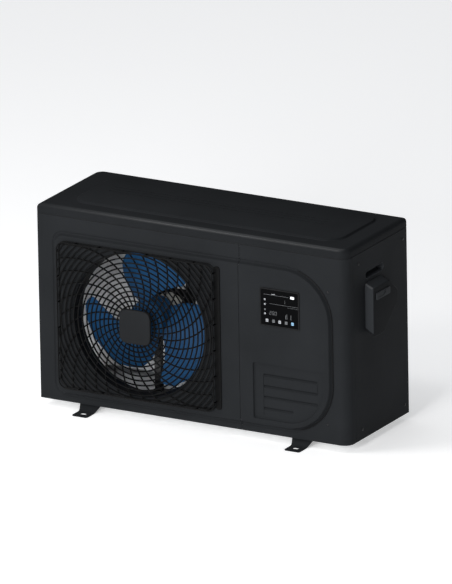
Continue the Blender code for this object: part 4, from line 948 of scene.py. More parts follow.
def make_guard(finish):
    """Welded wire basket: concentric rings, sweeping radial wires and a deep rounded rim."""
    face = GUARD_LOW.y
    base = GUARD_HIGH.y
    ring_depth = face + FRAME_WIRE * 0.6 + WIRE
    spoke_depth = ring_depth + 2 * WIRE * 0.9
    margin = FRAME_WIRE
    bm = bmesh.new()
    radius = RING_START
    while radius < RING_LIMIT:
        steps = max(48, int(radius * STEPS_TO_METRE))
        path = [Vector((FAN_X + radius * math.sin(math.tau * i / steps), ring_depth,
                        FAN_Z + radius * math.cos(math.tau * i / steps)))
                for i in range(steps)]
        runs = inside_runs(path, margin)
        if len(runs) == 1 and len(runs[0]) == steps:
            add_wire(bm, path, WIRE, 6, closed=True)
        else:
            start = next(i for i in range(steps)
                         if guard_depth(path[i].x, path[i].z) < margin)
            turned_path = path[start:] + path[:start]
            for run in inside_runs(turned_path, margin):
                add_wire(bm, run, WIRE, 6)
        radius += RING_PITCH
    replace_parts(fit_wires("guard_rings", bm, finish), "fan_guard")
    bm = bmesh.new()
    for i in range(SPOKES):
        start = math.tau * i / SPOKES
        path = []
        for k in range(SPOKE_STEPS + 1):
            share = k / SPOKE_STEPS
            reach = SPOKE_START + share * SPOKE_REACH
            turn = start + SPOKE_SWEEP * (share ** 1.15) * 1.25
            path.append(Vector((FAN_X + reach * math.sin(turn), spoke_depth,
                                FAN_Z + reach * math.cos(turn))))
        for run in inside_runs(path, margin):
            add_wire(bm, run, WIRE, 6)
    fit_wires("guard_spokes", bm, finish)
    make_guard_rim(face, base, finish)
    make_guard_cap()


def make_guard_rim(face, base, finish):
    """Frame wire round the face, a thin wall behind it, and a foot wire on the panel."""
    bm = bmesh.new()
    foot_wire = FRAME_WIRE * 0.8
    for radius, depth in ((FRAME_WIRE, face + FRAME_WIRE), (foot_wire, base - foot_wire)):
        outline = facing(guard_outline(radius), depth)
        add_wire(bm, outline, radius, 10, closed=True)
    fit_wires("guard_frame", bm, finish)
    bm = bmesh.new()
    outline = guard_outline(FRAME_WIRE, 10)
    length = sum((outline[i] - outline[i - 1]).length for i in range(len(outline)))
    count = int(length / LEG_PITCH)
    for i in range(count):
        place = along(outline, length * i / count)
        path = [Vector((place.x, depth, place.y))
                for depth in (face + FRAME_WIRE, (face + base) / 2, base - FRAME_WIRE)]
        add_wire(bm, path, WIRE, 6)
    fit_wires("guard_wall_wires", bm, finish)
    half = (GUARD_HIGH.z - GUARD_LOW.z) / 2 - 0.006
    middle = (GUARD_HIGH.z + GUARD_LOW.z) / 2

    def flange_and_shadow_outline(inset):
        return box_outline(GUARD_RIGHT - 0.004 + inset, GUARD_HIGH.x - inset,
                           middle - half + inset, middle + half - inset, 0.0085 - inset, 10)

    # Dark flange beside the guard's right edge: partly a real flange, partly painted shadow of the
    # guard.
    flange = soft_plate("guard_flange", flange_and_shadow_outline, facing, base, base - 0.003, 0.0012,
                        finish)
    fit(flange, "casing", "guard")


def along(outline, distance):
    """Point on a closed outline at a distance from its start."""
    count = len(outline)
    for i in range(count):
        step = outline[(i + 1) % count] - outline[i]
        if distance <= step.length:
            return outline[i] + step * (distance / max(step.length, 1e-9))
        distance -= step.length
    return outline[0]


def make_guard_cap():
    """Plain square cover at the guard's middle, softly domed."""
    middle = (CAP_LOW + CAP_HIGH).xz / 2
    half = (CAP_HIGH.x - CAP_LOW.x) / 2

    def outline(inset):
        points = []
        for k in range(72):
            arm = heading(math.tau * k / 72)
            points.append(middle + arm * ((half - inset) / (abs(arm.x) ** 5
                                                            + abs(arm.y) ** 5) ** 0.2))
        return points

    loops = stacked(outline, facing, (0.004, CAP_HIGH.y), (0.0004, CAP_HIGH.y),
                    (0.0, CAP_HIGH.y - 0.0006))
    side = CAP_HIGH.y - 0.0030
    depth = side - CAP_LOW.y
    for inward, downward in quarter_turn(8):
        loops.append(facing(outline(0.0060 * inward), side - depth * 0.8 * (1 - downward)))
    loops += stacked(outline, facing, (0.020, CAP_LOW.y + depth * 0.06), (0.038, CAP_LOW.y))
    cap = loft("guard_cap", loops, FINISHES["cap"])
    fit(cap, "casing", "casing", "guard_hub_cap")
    bm = bmesh.new()
    add_wire(bm, facing(outline(0.0005), CAP_HIGH.y + 0.0015), 0.0016, 8, closed=True)
    fit_wires("cap_backing_wire", bm, FINISHES["guard"])


# ---------------------------------------------------------------- fan, ring and motor

SHROUD_LOW, SHROUD_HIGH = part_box("fan_shroud")
FAN_RADIUS = 0.203
HUB_RADIUS = 0.058
FAN_FRONT = FRONT + 0.030
FAN_REAR = FRONT + 0.116
BLADE_TIP_ANGLE = 84.0
BLADE_SWEEP = 36.0
BLADE_SPAN = (70.0, 84.0)
BLADE_THICK = 0.0026
BLADES = 3
HUB_RIBS = 12
SHAFT_RADIUS = 0.006


def blade_point(share_out, share_round, blade):
    """Point of the blade's middle surface: out along the span and round along the chord."""
    radius = HUB_RADIUS - 0.003 + (FAN_RADIUS - HUB_RADIUS + 0.003) * share_out
    span = BLADE_SPAN[0] + (BLADE_SPAN[1] - BLADE_SPAN[0]) * share_out
    lead = 10.0 * math.sin(math.pi * share_out) * (share_round - 0.5)
    centre = BLADE_TIP_ANGLE + 360.0 / BLADES * blade + BLADE_SWEEP * (1 - share_out) ** 1.3
    angle = math.radians(centre + span * (share_round - 0.5) + lead)
    pitch = (0.060 + 0.014 * share_out) * (share_round - 0.5)
    camber = 0.010 * math.sin(math.pi * share_round)
    y = (FAN_FRONT + FAN_REAR) / 2 + pitch - camber
    return Vector((FAN_X + radius * math.cos(angle), y, FAN_Z + radius * math.sin(angle)))


def blade_width(share_out):
    return 1.0 - 0.30 * max(0.0, share_out - 0.80) ** 2 / 0.04


def make_blade(blade, finish):
    """Swept blade, thicker at its root, with rounded edges and rounded tip corners."""
    out_steps, round_steps = 26, 34
    bm = bmesh.new()
    front, back = [], []
    for i in range(out_steps + 1):
        share_out = i / out_steps
        row_front, row_back = [], []
        for j in range(round_steps + 1):
            share_round = 0.5 + (j / round_steps - 0.5) * blade_width(share_out)
            spot = blade_point(share_out, share_round, blade)
            edge = min(i + 3, out_steps - i, j, round_steps - j) / 2.0
            swell = math.sqrt(max(0.0, 1 - (1 - min(edge, 1.0)) ** 2))
            thick = BLADE_THICK * (1.25 - 0.45 * share_out) * (0.25 + 0.75 * swell)
            half = Vector((0, thick / 2, 0))
            row_front.append(bm.verts.new(spot - half))
            row_back.append(bm.verts.new(spot + half))
        front.append(row_front)
        back.append(row_back)
    for grid in (front, back):
        for i in range(out_steps):
            for j in range(round_steps):
                bm.faces.new((grid[i][j], grid[i][j + 1], grid[i + 1][j + 1], grid[i + 1][j]))
    border = [(0, j) for j in range(round_steps)]
    border += [(i, round_steps) for i in range(out_steps)]
    border += [(out_steps, j) for j in range(round_steps, 0, -1)]
    border += [(i, 0) for i in range(out_steps, 0, -1)]
    for (a, b), (c, d) in zip(border, border[1:] + border[:1]):
        bm.faces.new((front[a][b], front[c][d], back[c][d], back[a][b]))
    return fit(add_mesh(f"fan_blade_{blade}", bm, finish, 60), "rotor", "blue")


def make_impeller(finish):
    """Cup-shaped hub with ribs inside, and its three blades."""
    depth = FAN_REAR - FAN_FRONT
    bore = SHAFT_RADIUS + 0.0001
    profile = [(bore, 0.0), (0.016, 0.0), (0.0165, 0.0022), (0.026, 0.0030), (0.040, 0.0006),
               (HUB_RADIUS - 0.014, 0.0002), (HUB_RADIUS - 0.0065, 0.0016),
               (HUB_RADIUS - 0.0022, 0.0056), (HUB_RADIUS - 0.0003, 0.011),
               (HUB_RADIUS, 0.018), (HUB_RADIUS, depth - 0.0065),
               (HUB_RADIUS - 0.003, depth - 0.006), (HUB_RADIUS - 0.003, 0.018),
               (HUB_RADIUS - 0.009, 0.008), (0.016, 0.0062), (0.014, 0.040), (bore, 0.040)]
    hub = turned("fan_hub", profile, (FAN_X, FAN_FRONT, FAN_Z), "Y", finish, 72, ring=True)
    fit(hub, "rotor", "blue", "fan_impeller")
    for blade in range(BLADES):
        make_blade(blade, finish)
    bm = bmesh.new()
    for k in range(HUB_RIBS):
        angle = math.tau * k / HUB_RIBS
        arm = Vector((math.cos(angle), 0, math.sin(angle)))
        cross = Vector((-math.sin(angle), 0, math.cos(angle))) * 0.0011
        base = Vector((FAN_X, FAN_FRONT, FAN_Z))
        corners = [base + arm * reach + Vector((0, deep, 0))
                   for reach, deep in ((0.0135, 0.0075), (HUB_RADIUS - 0.002, 0.0110),
                                       (HUB_RADIUS - 0.002, 0.060), (0.0135, 0.034))]
        add_loft(bm, [[p - cross for p in corners], [p + cross for p in corners]])
    fit(add_mesh("hub_ribs", bm, finish), "rotor", "blue")


def make_shroud(finish):
    """Bell mouth: flared entry, straight throat with a stiffening bead and a rolled end."""
    start = SHROUD_LOW.y
    depth = SHROUD_HIGH.y - SHROUD_LOW.y
    mouth, throat = ORIFICE_RADIUS - 0.001, FAN_RADIUS + 0.006
    wall = 0.0022
    inner, outer = [(ORIFICE_RADIUS + 0.0005, 0.0)], []
    for k in range(9):
        share = k / 8
        radius = mouth + (throat - mouth) * eased(share)
        inner.append((radius, 0.007 + 0.020 * share))
        outer.append((radius + wall, 0.008 + 0.020 * share))
    inner += [(throat, depth - 0.004), (throat + 0.0002, depth - 0.001),
              (throat + 0.0010, depth)]
    outer = [(ORIFICE_RADIUS + 0.006, 0.0), (ORIFICE_RADIUS + 0.006, 0.002),
             (ORIFICE_RADIUS + 0.003, 0.0045)] + outer
    outer += [(throat + wall, 0.033), (throat + wall + 0.0002, 0.036),
              (throat + wall, 0.039), (throat + wall, depth - 0.0015)]
    ring = turned("air_ring", inner + outer[::-1], (FAN_X, start, FAN_Z), "Y", finish, 128,
                  ring=True)
    fit(ring, "casing", "black", "fan_shroud")


# ---------------------------------------------------------------- coil and its guards

COIL_LOW, COIL_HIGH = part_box("evaporator_coil")
COIL_THICK = 0.028
COIL_TURN = 0.045
COIL_STRAIGHT = COIL_HIGH.x - COIL_LOW.x - COIL_TURN
COIL_BEND = (COIL_TURN - COIL_THICK / 2) * math.pi / 2
COIL_LENGTH = COIL_STRAIGHT + COIL_BEND + COIL_HIGH.y - COIL_TURN - COIL_LOW.y
FIN_PITCH = 0.0020
FIN_THICK = 0.0006
TUBE_ROWS = 20
TUBE_INSET = 0.0078
TUBE_RADIUS = 0.0042


def coil_section(distance):
    """Inner and outer plan points of the block at a distance from its right-hand end."""
    if distance < COIL_STRAIGHT:
        x = COIL_HIGH.x - distance
        return Vector((x, COIL_HIGH.y - COIL_THICK)), Vector((x, COIL_HIGH.y))
    if distance < COIL_STRAIGHT + COIL_BEND:
        angle = math.pi / 2 * (1 + (distance - COIL_STRAIGHT) / COIL_BEND)
        centre = Vector((COIL_LOW.x + COIL_TURN, COIL_HIGH.y - COIL_TURN))
        arm = heading(angle)
        return centre + arm * (COIL_TURN - COIL_THICK), centre + arm * COIL_TURN
    y = COIL_HIGH.y - COIL_TURN - (distance - COIL_STRAIGHT - COIL_BEND)
    return Vector((COIL_LOW.x + COIL_THICK, y)), Vector((COIL_LOW.x, y))


def make_coil(fins, copper):
    """L-shaped finned block: thin upright plates on a dark core pierced by copper tubes."""
    bm = bmesh.new()
    distance = FIN_PITCH / 2
    while distance < COIL_LENGTH:
        inner, outer = coil_section(distance)
        arm = (outer - inner).normalized()
        half = Vector((-arm.y, arm.x)) * (FIN_THICK / 2)
        outline = [inner - half, outer - half, outer + half, inner + half]
        add_loft(bm, [level(outline, COIL_LOW.z), level(outline, COIL_HIGH.z)])
        distance += FIN_PITCH
    fit(add_mesh("coil_fins", bm, fins, tidy=False), "casing", "fins", "evaporator_coil")
    edge = 0.0045
    inner_side, outer_side = [], []
    steps = 60
    for k in range(steps + 1):
        inner, outer = coil_section(0.001 + (COIL_LENGTH - 0.002) * k / steps)
        arm = (outer - inner).normalized()
        inner_side.append(inner + arm * edge)
        outer_side.append(outer - arm * edge)
    core = plate("coil_core", inner_side + outer_side[::-1], level, COIL_LOW.z + 0.001,
                 COIL_HIGH.z - 0.001, FINISHES["fin_shade"])
    fit(core, "casing", "fins")
    bm = bmesh.new()
    for k in range(TUBE_ROWS):
        z = COIL_LOW.z + (COIL_HIGH.z - COIL_LOW.z) * (k + 0.5) / TUBE_ROWS
        for depth in (TUBE_INSET, COIL_THICK - TUBE_INSET):
            path = [Vector((COIL_HIGH.x - back, COIL_HIGH.y - depth, z))
                    for back in (0.0012, 0.0006, 0.0)]
            add_wire(bm, path, TUBE_RADIUS, 12)
    fit_wires("coil_tube_ends", bm, copper, "copper")


GRID_BORDER = 0.014
GRID_WIRE = 0.00075
GRID_PITCH = (0.0105, 0.040)
GRID_LAP = 0.004


def make_grid_guard(name, span, place_low, place_high, place, frame_finish):
    """Sheet frame with a fine welded wire grid; span is (low, high) along its width."""
    border = GRID_BORDER
    sheet = plate(f"{name}_frame", box_outline(*span, PANEL_LOW, PANEL_HIGH, 0.002, 2), place,
                  place_low, place_high, frame_finish)
    half_way = (PANEL_LOW + PANEL_HIGH) / 2
    lows = (PANEL_LOW + border, half_way + border / 2)
    highs = (half_way - border / 2, PANEL_HIGH - border)
    for low, high in zip(lows, highs):
        window = box_outline(span[0] + border, span[1] - border, low, high, 0.006, 4)
        punch(sheet, window, place, min(place_low, place_high) - 0.01,
              max(place_low, place_high) + 0.01)
    fit(sheet, "casing", "guard", name)
    middle = (place_low + place_high) / 2
    bm = bmesh.new()
    width, height = span[1] - span[0] - 2 * border, PANEL_HIGH - PANEL_LOW - 2 * border
    count = int(width / GRID_PITCH[0])
    for k in range(1, count):
        a = span[0] + border + width * k / count
        ends = place([(a, PANEL_LOW + border - GRID_LAP), (a, half_way),
                      (a, PANEL_HIGH - border + GRID_LAP)], middle)
        add_wire(bm, ends, GRID_WIRE, 6)
    rows = int(height / GRID_PITCH[1])
    for k in range(1, rows):
        z = PANEL_LOW + border + height * k / rows
        ends = place([(span[0] + border - GRID_LAP, z), ((span[0] + span[1]) / 2, z),
                      (span[1] - border + GRID_LAP, z)], middle)
        add_wire(bm, ends, GRID_WIRE * 1.2, 6)
    fit_wires(f"{name}_wires", bm, frame_finish)


def make_coil_guards(finish):
    low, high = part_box("rear_coil_guard")
    make_grid_guard("rear_coil_guard", (low.x, high.x), low.y, high.y, facing, finish)
    low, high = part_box("left_coil_guard")
    make_grid_guard("left_coil_guard", (low.y, high.y), low.x, high.x, sideways, finish)


def make_corner_post(finish):
    low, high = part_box("rear_left_post")
    outline = rounded([
        (high.x, REAR, 0), (LEFT, REAR, CORNER), (LEFT, low.y, 0), (LEFT + SHEET, low.y, 0),
        (LEFT + SHEET, REAR - SHEET, CORNER - SHEET), (high.x, REAR - SHEET, 0)], 16)
    post = plate("corner_post", outline, level, low.z, high.z, finish)
    fit(post, "casing", "casing", "rear_left_post")


# ---------------------------------------------------------------- rear side

REAR_LOW, REAR_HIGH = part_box("rear_panel")
NUT_BOXES = {label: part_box(f"{label}_union_nut") for label in ("inlet", "outlet")}
UNION_X = sum(NUT_BOXES["inlet"], Vector()).x / 2
PIPE_RADIUS = 0.025
PIPE_BORE = 0.0205
GLAND_RADIUS = 0.0103
LOUVRE_COLUMNS = (0.050, 0.170)
REAR_LOUVRE_ROWS = 7
REAR_LOUVRE_LENGTH = 0.095
REAR_LOUVRE_PITCH = 0.016


def union_height(label):
    return sum(NUT_BOXES[label], Vector()).z / 2


def make_rear_panel(finish):
    """Service panel with a pressed edge, pipe and cable holes and a field of louvres."""
    panel = plate("rear_sheet", front_outline(REAR_LOW, REAR_HIGH, 0.0, 0.0016, 3), facing,
                  REAR_LOW.y, REAR_HIGH.y, finish)
    for label in NUT_BOXES:
        bore(panel, (UNION_X, REAR, union_height(label)), PIPE_RADIUS + 0.001, 64)
    gland = sum(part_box("power_gland"), Vector()) / 2
    bore(panel, (gland.x, REAR, gland.z), GLAND_RADIUS, 40)
    fit(panel, "casing", "casing", "rear_panel")
    bm = bmesh.new()
    for start in LOUVRE_COLUMNS:
        for row in range(REAR_LOUVRE_ROWS):
            x_low = REAR_LOW.x + start
            add_rear_louvre(bm, x_low, x_low + REAR_LOUVRE_LENGTH,
                            FLOOR + 0.425 + REAR_LOUVRE_PITCH * row)
    fit(add_mesh("rear_louvres", bm, finish), "casing", "casing")
    bm = bmesh.new()
    bead = front_outline(REAR_LOW, REAR_HIGH, 0.020, 0.016, 10)
    add_wire(bm, facing(bead, REAR - 0.0008), 0.0022, 8, closed=True)
    fit_wires("rear_bead", bm, finish, "casing")


def add_rear_louvre(bm, x_low, x_high, z):
    """Low half-round hood pressed out of the rear sheet."""
    loops = []
    for x, share in ((x_low, 0.05), (x_low + 0.003, 0.75), (x_low + 0.007, 1.0),
                     (x_high - 0.007, 1.0), (x_high - 0.003, 0.75), (x_high, 0.05)):
        outline = [(REAR - 0.0004 + 0.0034 * share * (1 - downward), z + 0.009 * (1 - inward))
                   for inward, downward in quarter_turn(6)]
        loops.append(sideways(outline + [(REAR - 0.0004, z + 0.0006)], x))
    add_loft(bm, loops)


def make_union(label, vessel, black):
    """Threaded stub, tailpiece and ribbed nut, each on the body that carries it."""
    centre = (UNION_X, 0, union_height(label))
    low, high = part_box(f"{label}_stub")
    thread = 0.0297
    profile = [(PIPE_BORE, low.y), (PIPE_RADIUS, low.y), (PIPE_RADIUS, REAR + 0.0014)]
    y = REAR + 0.0018
    while y < high.y - 0.003:
        profile += [(thread - 0.0012, y), (thread, y + 0.0008), (thread, y + 0.0012),
                    (thread - 0.0012, y + 0.0020)]
        y += 0.0030
    profile += [(thread - 0.0012, high.y), (PIPE_BORE + 0.0015, high.y),
                (PIPE_BORE, high.y - 0.0015)]
    stub = turned(f"{label}_thread", profile, centre, "Y", vessel, 64, ring=True)
    fit(stub, "casing", "vessel", f"{label}_stub")
    low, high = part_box(f"{label}_tailpiece")
    flange = low.y + 0.0045
    profile = [(PIPE_BORE, low.y), (PIPE_RADIUS + 0.0035, low.y),
               (PIPE_RADIUS + 0.0035, flange), (PIPE_RADIUS + 0.0006, flange),
               (PIPE_RADIUS, flange + 0.0006), (PIPE_RADIUS, high.y - 0.0010),
               (PIPE_RADIUS - 0.0010, high.y), (PIPE_BORE + 0.0014, high.y),
               (PIPE_BORE, high.y - 0.0014)]
    tail = turned(f"{label}_tail", profile, centre, "Y", vessel, 64, ring=True)
    fit(tail, f"{label}_tail", "vessel", f"{label}_tailpiece")
    low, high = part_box(f"{label}_union_nut")
    make_nut(label, low.y, high.y, centre, black)


def make_nut(label, low, high, centre, finish):
    """Union nut with six broad grips and fine knurls between them."""
    reach = 0.0365
    steps = 144
    inner, lip = 0.0304, high - 0.0042

    def ring(radius_of, y):
        angles = [math.tau * i / steps for i in range(steps)]
        return [Vector((centre[0] + radius_of(angle) * math.cos(angle), y,
                        centre[2] + radius_of(angle) * math.sin(angle)))
                for angle in angles]

    def grip(share):
        def radius_of(angle):
            lobe = max(0.0, math.cos(6 * angle)) ** 3
            knurl = 0.5 + 0.5 * math.cos(36 * angle)
            return reach - 0.0012 + share * (0.0030 * lobe + 0.0009 * knurl * (1 - lobe))
        return radius_of

    def flat(radius):
        return lambda angle: radius

    stations = [(flat(inner), low), (flat(reach - 0.0022), low),
                (flat(reach - 0.0012), low + 0.001),
                (grip(0.0), low + 0.0020), (grip(0.8), low + 0.0026), (grip(1.0), low + 0.0040),
                (grip(1.0), high - 0.0060), (grip(0.7), high - 0.0044), (grip(0.0), high - 0.0030),
                (flat(reach - 0.0030), high - 0.0006), (flat(reach - 0.0040), high),
                (flat(PIPE_RADIUS + 0.0016), high), (flat(PIPE_RADIUS + 0.0006), high - 0.0010),
                (flat(PIPE_RADIUS + 0.0006), lip), (flat(inner), lip)]
    nut = loft(f"{label}_nut", [ring(radius_of, y) for radius_of, y in stations], finish,
               ring=True)
    fit(nut, f"{label}_nut", "black", f"{label}_union_nut")


# ---------------------------------------------------------------- feet, base and fixings

FOOT_SHEET = 0.0025
PAD_WIDTH = 0.050
RAIL_WIDTH = 0.070
PAD_LENGTH = 0.046
RISER_RUN = 0.022


def make_foot(name, finish):
    """One bent strip with rounded bends, a slotted pad at each end and clipped corners."""
    low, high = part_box(name)
    middle = (low.x + high.x) / 2
    top = high.z - FOOT_SHEET
    tip = low.y
    bend = 0.006
    stations = [(tip, 0.0, PAD_WIDTH - 0.010), (tip + 0.0015, 0.0, PAD_WIDTH - 0.004),
                (tip + 0.005, 0.0, PAD_WIDTH)]
    for k in range(7):
        share = k / 6
        ease = eased(share)
        stations.append((tip + PAD_LENGTH - bend + (RISER_RUN + 2 * bend) * share, top * ease,
                         PAD_WIDTH + (RAIL_WIDTH - PAD_WIDTH) * ease))
    stations += [(-y, z, width) for y, z, width in reversed(stations)]
    loops = []
    for y, z, width in stations:
        half = width / 2
        loops.append([(middle - half, y, z), (middle + half, y, z),
                      (middle + half, y, z + FOOT_SHEET), (middle - half, y, z + FOOT_SHEET)])
    rail = loft(f"{name}_strip", loops, finish)
    for side in (-1, 1):
        slot_y = side * (abs(tip) - 0.026)
        slot = box_outline(middle - 0.010, middle + 0.010, slot_y - 0.0065, slot_y + 0.0065,
                           0.0064, 10)
        punch(rail, slot, level, -0.01, 0.01)
    fit(rail, "casing", "casing", name)


def make_screw(name, place, outward, finish, radius=0.0042):
    """Pan-head screw with a cross recess, facing along -Y, +Y or +X."""
    axis = "X" if abs(outward[0]) > 0.5 else "Y"
    turn = outward[0] + outward[1]
    profile = [(radius, 0.0), (radius, 0.0006 * turn), (radius * 0.86, 0.0014 * turn),
               (radius * 0.55, 0.0019 * turn), (radius * 0.15, 0.0021 * turn)]
    head = turned(name, profile, place, axis, finish, 28)
    for width, tall in ((0.24, 1.15), (1.15, 0.24)):
        half_w, half_t = radius * width / 2, radius * tall / 2
        across, base = (place[0], place[1]) if axis == "Y" else (place[1], place[0])
        spots = [Vector((x + across, z + place[2]))
                 for x, z in ((-half_w, -half_t), (half_w, -half_t), (half_w, half_t),
                              (-half_w, half_t))]
        punch(head, spots, facing if axis == "Y" else sideways, base + 0.0009 * turn,
              base + 0.003 * turn)
    return fit(head, "casing", "zinc")


FRONT_SCREWS = ((0.942, 0.057), (0.948, 0.452))
REAR_SCREWS = (0.030, 0.270, 0.525)
SIDE_SCREWS = ((-0.100, 0.030), (0.150, 0.030), (0.150, 0.525), (-0.110, 0.525))


def make_screws(finish):
    for index, (across, upward) in enumerate(FRONT_SCREWS):
        make_screw(f"front_screw_{index}", (LEFT + across, FRONT, FLOOR + upward),
                   (0, -1), finish, 0.0034)
    for index, upward in enumerate(REAR_SCREWS):
        for side, x in (("left", REAR_LOW.x + 0.010), ("right", REAR_HIGH.x - 0.010)):
            make_screw(f"rear_screw_{side}_{index}", (x, REAR, FLOOR + upward), (0, 1),
                       finish)
    side_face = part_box("right_side_panel")[1].x
    for index, (y, upward) in enumerate(SIDE_SCREWS):
        make_screw(f"side_screw_{index}", (side_face, y, FLOOR + upward), (1, 0), finish)


# ---------------------------------------------------------------- display

GLASS_LOW, GLASS_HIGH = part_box("display_glass")


def make_display(black, glass):
    """Moulded bezel, glass with polished edge, and generic printed figures on it."""
    def bezel_outline(inset):
        return front_outline(BEZEL_LOW, BEZEL_HIGH, inset, max(0.0045 - inset, 0.0012), 10)

    back, face = BEZEL_HIGH.y, BEZEL_LOW.y
    edge, ledge = 0.0012, face + 0.0014
    loops = stacked(bezel_outline, facing, (0.0, back), (0.0, face + edge))
    for inward, downward in quarter_turn(5)[1:]:
        loops.append(facing(bezel_outline(edge * inward), face + edge * downward))
    loops += stacked(bezel_outline, facing, (0.0038, face), (0.0040, face + 0.0003),
                     (0.0040, ledge), (0.0100, ledge), (0.0100, back))
    fit(loft("display_frame", loops, black, ring=True), "casing", "black", "display_bezel")

    def glass_outline(inset):
        return front_outline(GLASS_LOW, GLASS_HIGH, inset, max(0.0022 - inset, 0.0008))

    pane = soft_plate("touch_glass", glass_outline, facing, GLASS_HIGH.y, GLASS_LOW.y, 0.0004,
                      glass)
    fit(pane, "casing", "glass", "display_glass")
    make_figures()


PRINT_FACE = GLASS_LOW.y - 0.00004
PRINT_BACK = GLASS_LOW.y + 0.00006


def polygon(bm, points):
    """Printed patch, as thin as ink, through (x, z) points."""
    add_loft(bm, [facing(points, PRINT_FACE), facing(points, PRINT_BACK)])


def stroke(bm, points, width):
    """Printed line of constant width through (x, z) points, as short flat tiles."""
    for start, end in zip(points, points[1:]):
        run = (end - start)
        if run.length < 1e-7:
            continue
        side = Vector((-run.y, run.x)).normalized() * (width / 2)
        ahead = run.normalized() * (width * 0.22)
        polygon(bm, [start - side - ahead, end - side + ahead, end + side + ahead,
                     start + side - ahead])


def arc_points(centre, radius, start, end, steps=14):
    """Points round part of a circle, between two angles in degrees."""
    return [centre + heading(math.radians(start + (end - start) * k / steps)) * radius
            for k in range(steps + 1)]


def panel_spot(across, upward):
    """Point of the front from its distances to the casing's left edge and underside."""
    return Vector((LEFT + across, FLOOR + upward))


def sun_icon(bm, centre, size):
    stroke(bm, arc_points(centre, size * 0.45, 0, 360, 18), size * 0.13)
    for k in range(8):
        arm = heading(math.tau * k / 8)
        stroke(bm, [centre + arm * size * 0.68, centre + arm * size * 0.98], size * 0.13)


def flake_icon(bm, centre, size):
    for k in range(3):
        angle = math.pi * k / 3 + 0.52
        arm = heading(angle)
        stroke(bm, [centre - arm * size, centre + arm * size], size * 0.13)
        for end in (-1, 1):
            for turn in (0.6, -0.6):
                start = centre + arm * end * size * 0.5
                branch = heading(angle + turn) * end * size * 0.36
                stroke(bm, [start, start + branch], size * 0.11)


def power_icon(bm, centre, size):
    stroke(bm, arc_points(centre, size * 0.82, 125, 415, 20), size * 0.16)
    stroke(bm, [centre + Vector((0, size * 0.1)), centre + Vector((0, size))], size * 0.16)


def clock_icon(bm, centre, size):
    stroke(bm, arc_points(centre, size * 0.88, 0, 360, 22), size * 0.14)
    stroke(bm, [centre + Vector((0, size * 0.5)), centre, centre + Vector((size * 0.4, 0))],
           size * 0.13)


def arrow_icon(bm, centre, size, turn):
    tip = centre + Vector((0, size * 0.7 * turn))
    for side in (-1, 1):
        stroke(bm, [centre + Vector((side * size * 0.75, -size * 0.4 * turn)), tip], size * 0.17)


def wave_icon(bm, centre, size):
    for row in (-0.5, 0.0, 0.5):
        points = []
        for k in range(17):
            x = -1 + 2 * k / 16
            points.append(centre + Vector((x * size * 0.85,
                                           row * size + 0.16 * size * math.sin(x * 6.3))))
        stroke(bm, points, size * 0.13)


def fan_icon(bm, centre, size):
    for k in range(3):
        angle = math.tau * k / 3
        hub = centre + heading(angle) * size * 0.5
        stroke(bm, arc_points(hub, size * 0.34, math.degrees(angle) - 60,
                              math.degrees(angle) + 200, 12), size * 0.14)


SEGMENTS = {"0": "abcdef", "2": "abged", "8": "abcdefg", "6": "acdefg"}


def digit(bm, corner, width, height, figure):
    """Seven-segment figure with slanted ends, leaning slightly."""
    lean = 0.08
    bar = width * 0.17

    def spot(x, y):
        return corner + Vector((x * width + y * height * lean, y * height))

    ends = {"a": ((0.1, 1), (0.9, 1)), "b": ((1, 0.95), (1, 0.55)), "c": ((1, 0.45), (1, 0.05)),
            "d": ((0.1, 0), (0.9, 0)), "e": ((0, 0.45), (0, 0.05)), "f": ((0, 0.95), (0, 0.55)),
            "g": ((0.1, 0.5), (0.9, 0.5))}
    for label in SEGMENTS[figure]:
        start, end = ends[label]
        stroke(bm, [spot(*start), spot(*end)], bar)


KEY_WIDTH = 0.0082
KEY_HEIGHT = 0.0090
SIDE_KEY = 0.0050


def tile(bm, centre, width, height):
    """Lit block with rounded corners."""
    across, upward = width / 2, height / 2
    polygon(bm, box_outline(centre.x - across, centre.x + across, centre.y - upward,
                            centre.y + upward, min(width, height) * 0.16, 3))


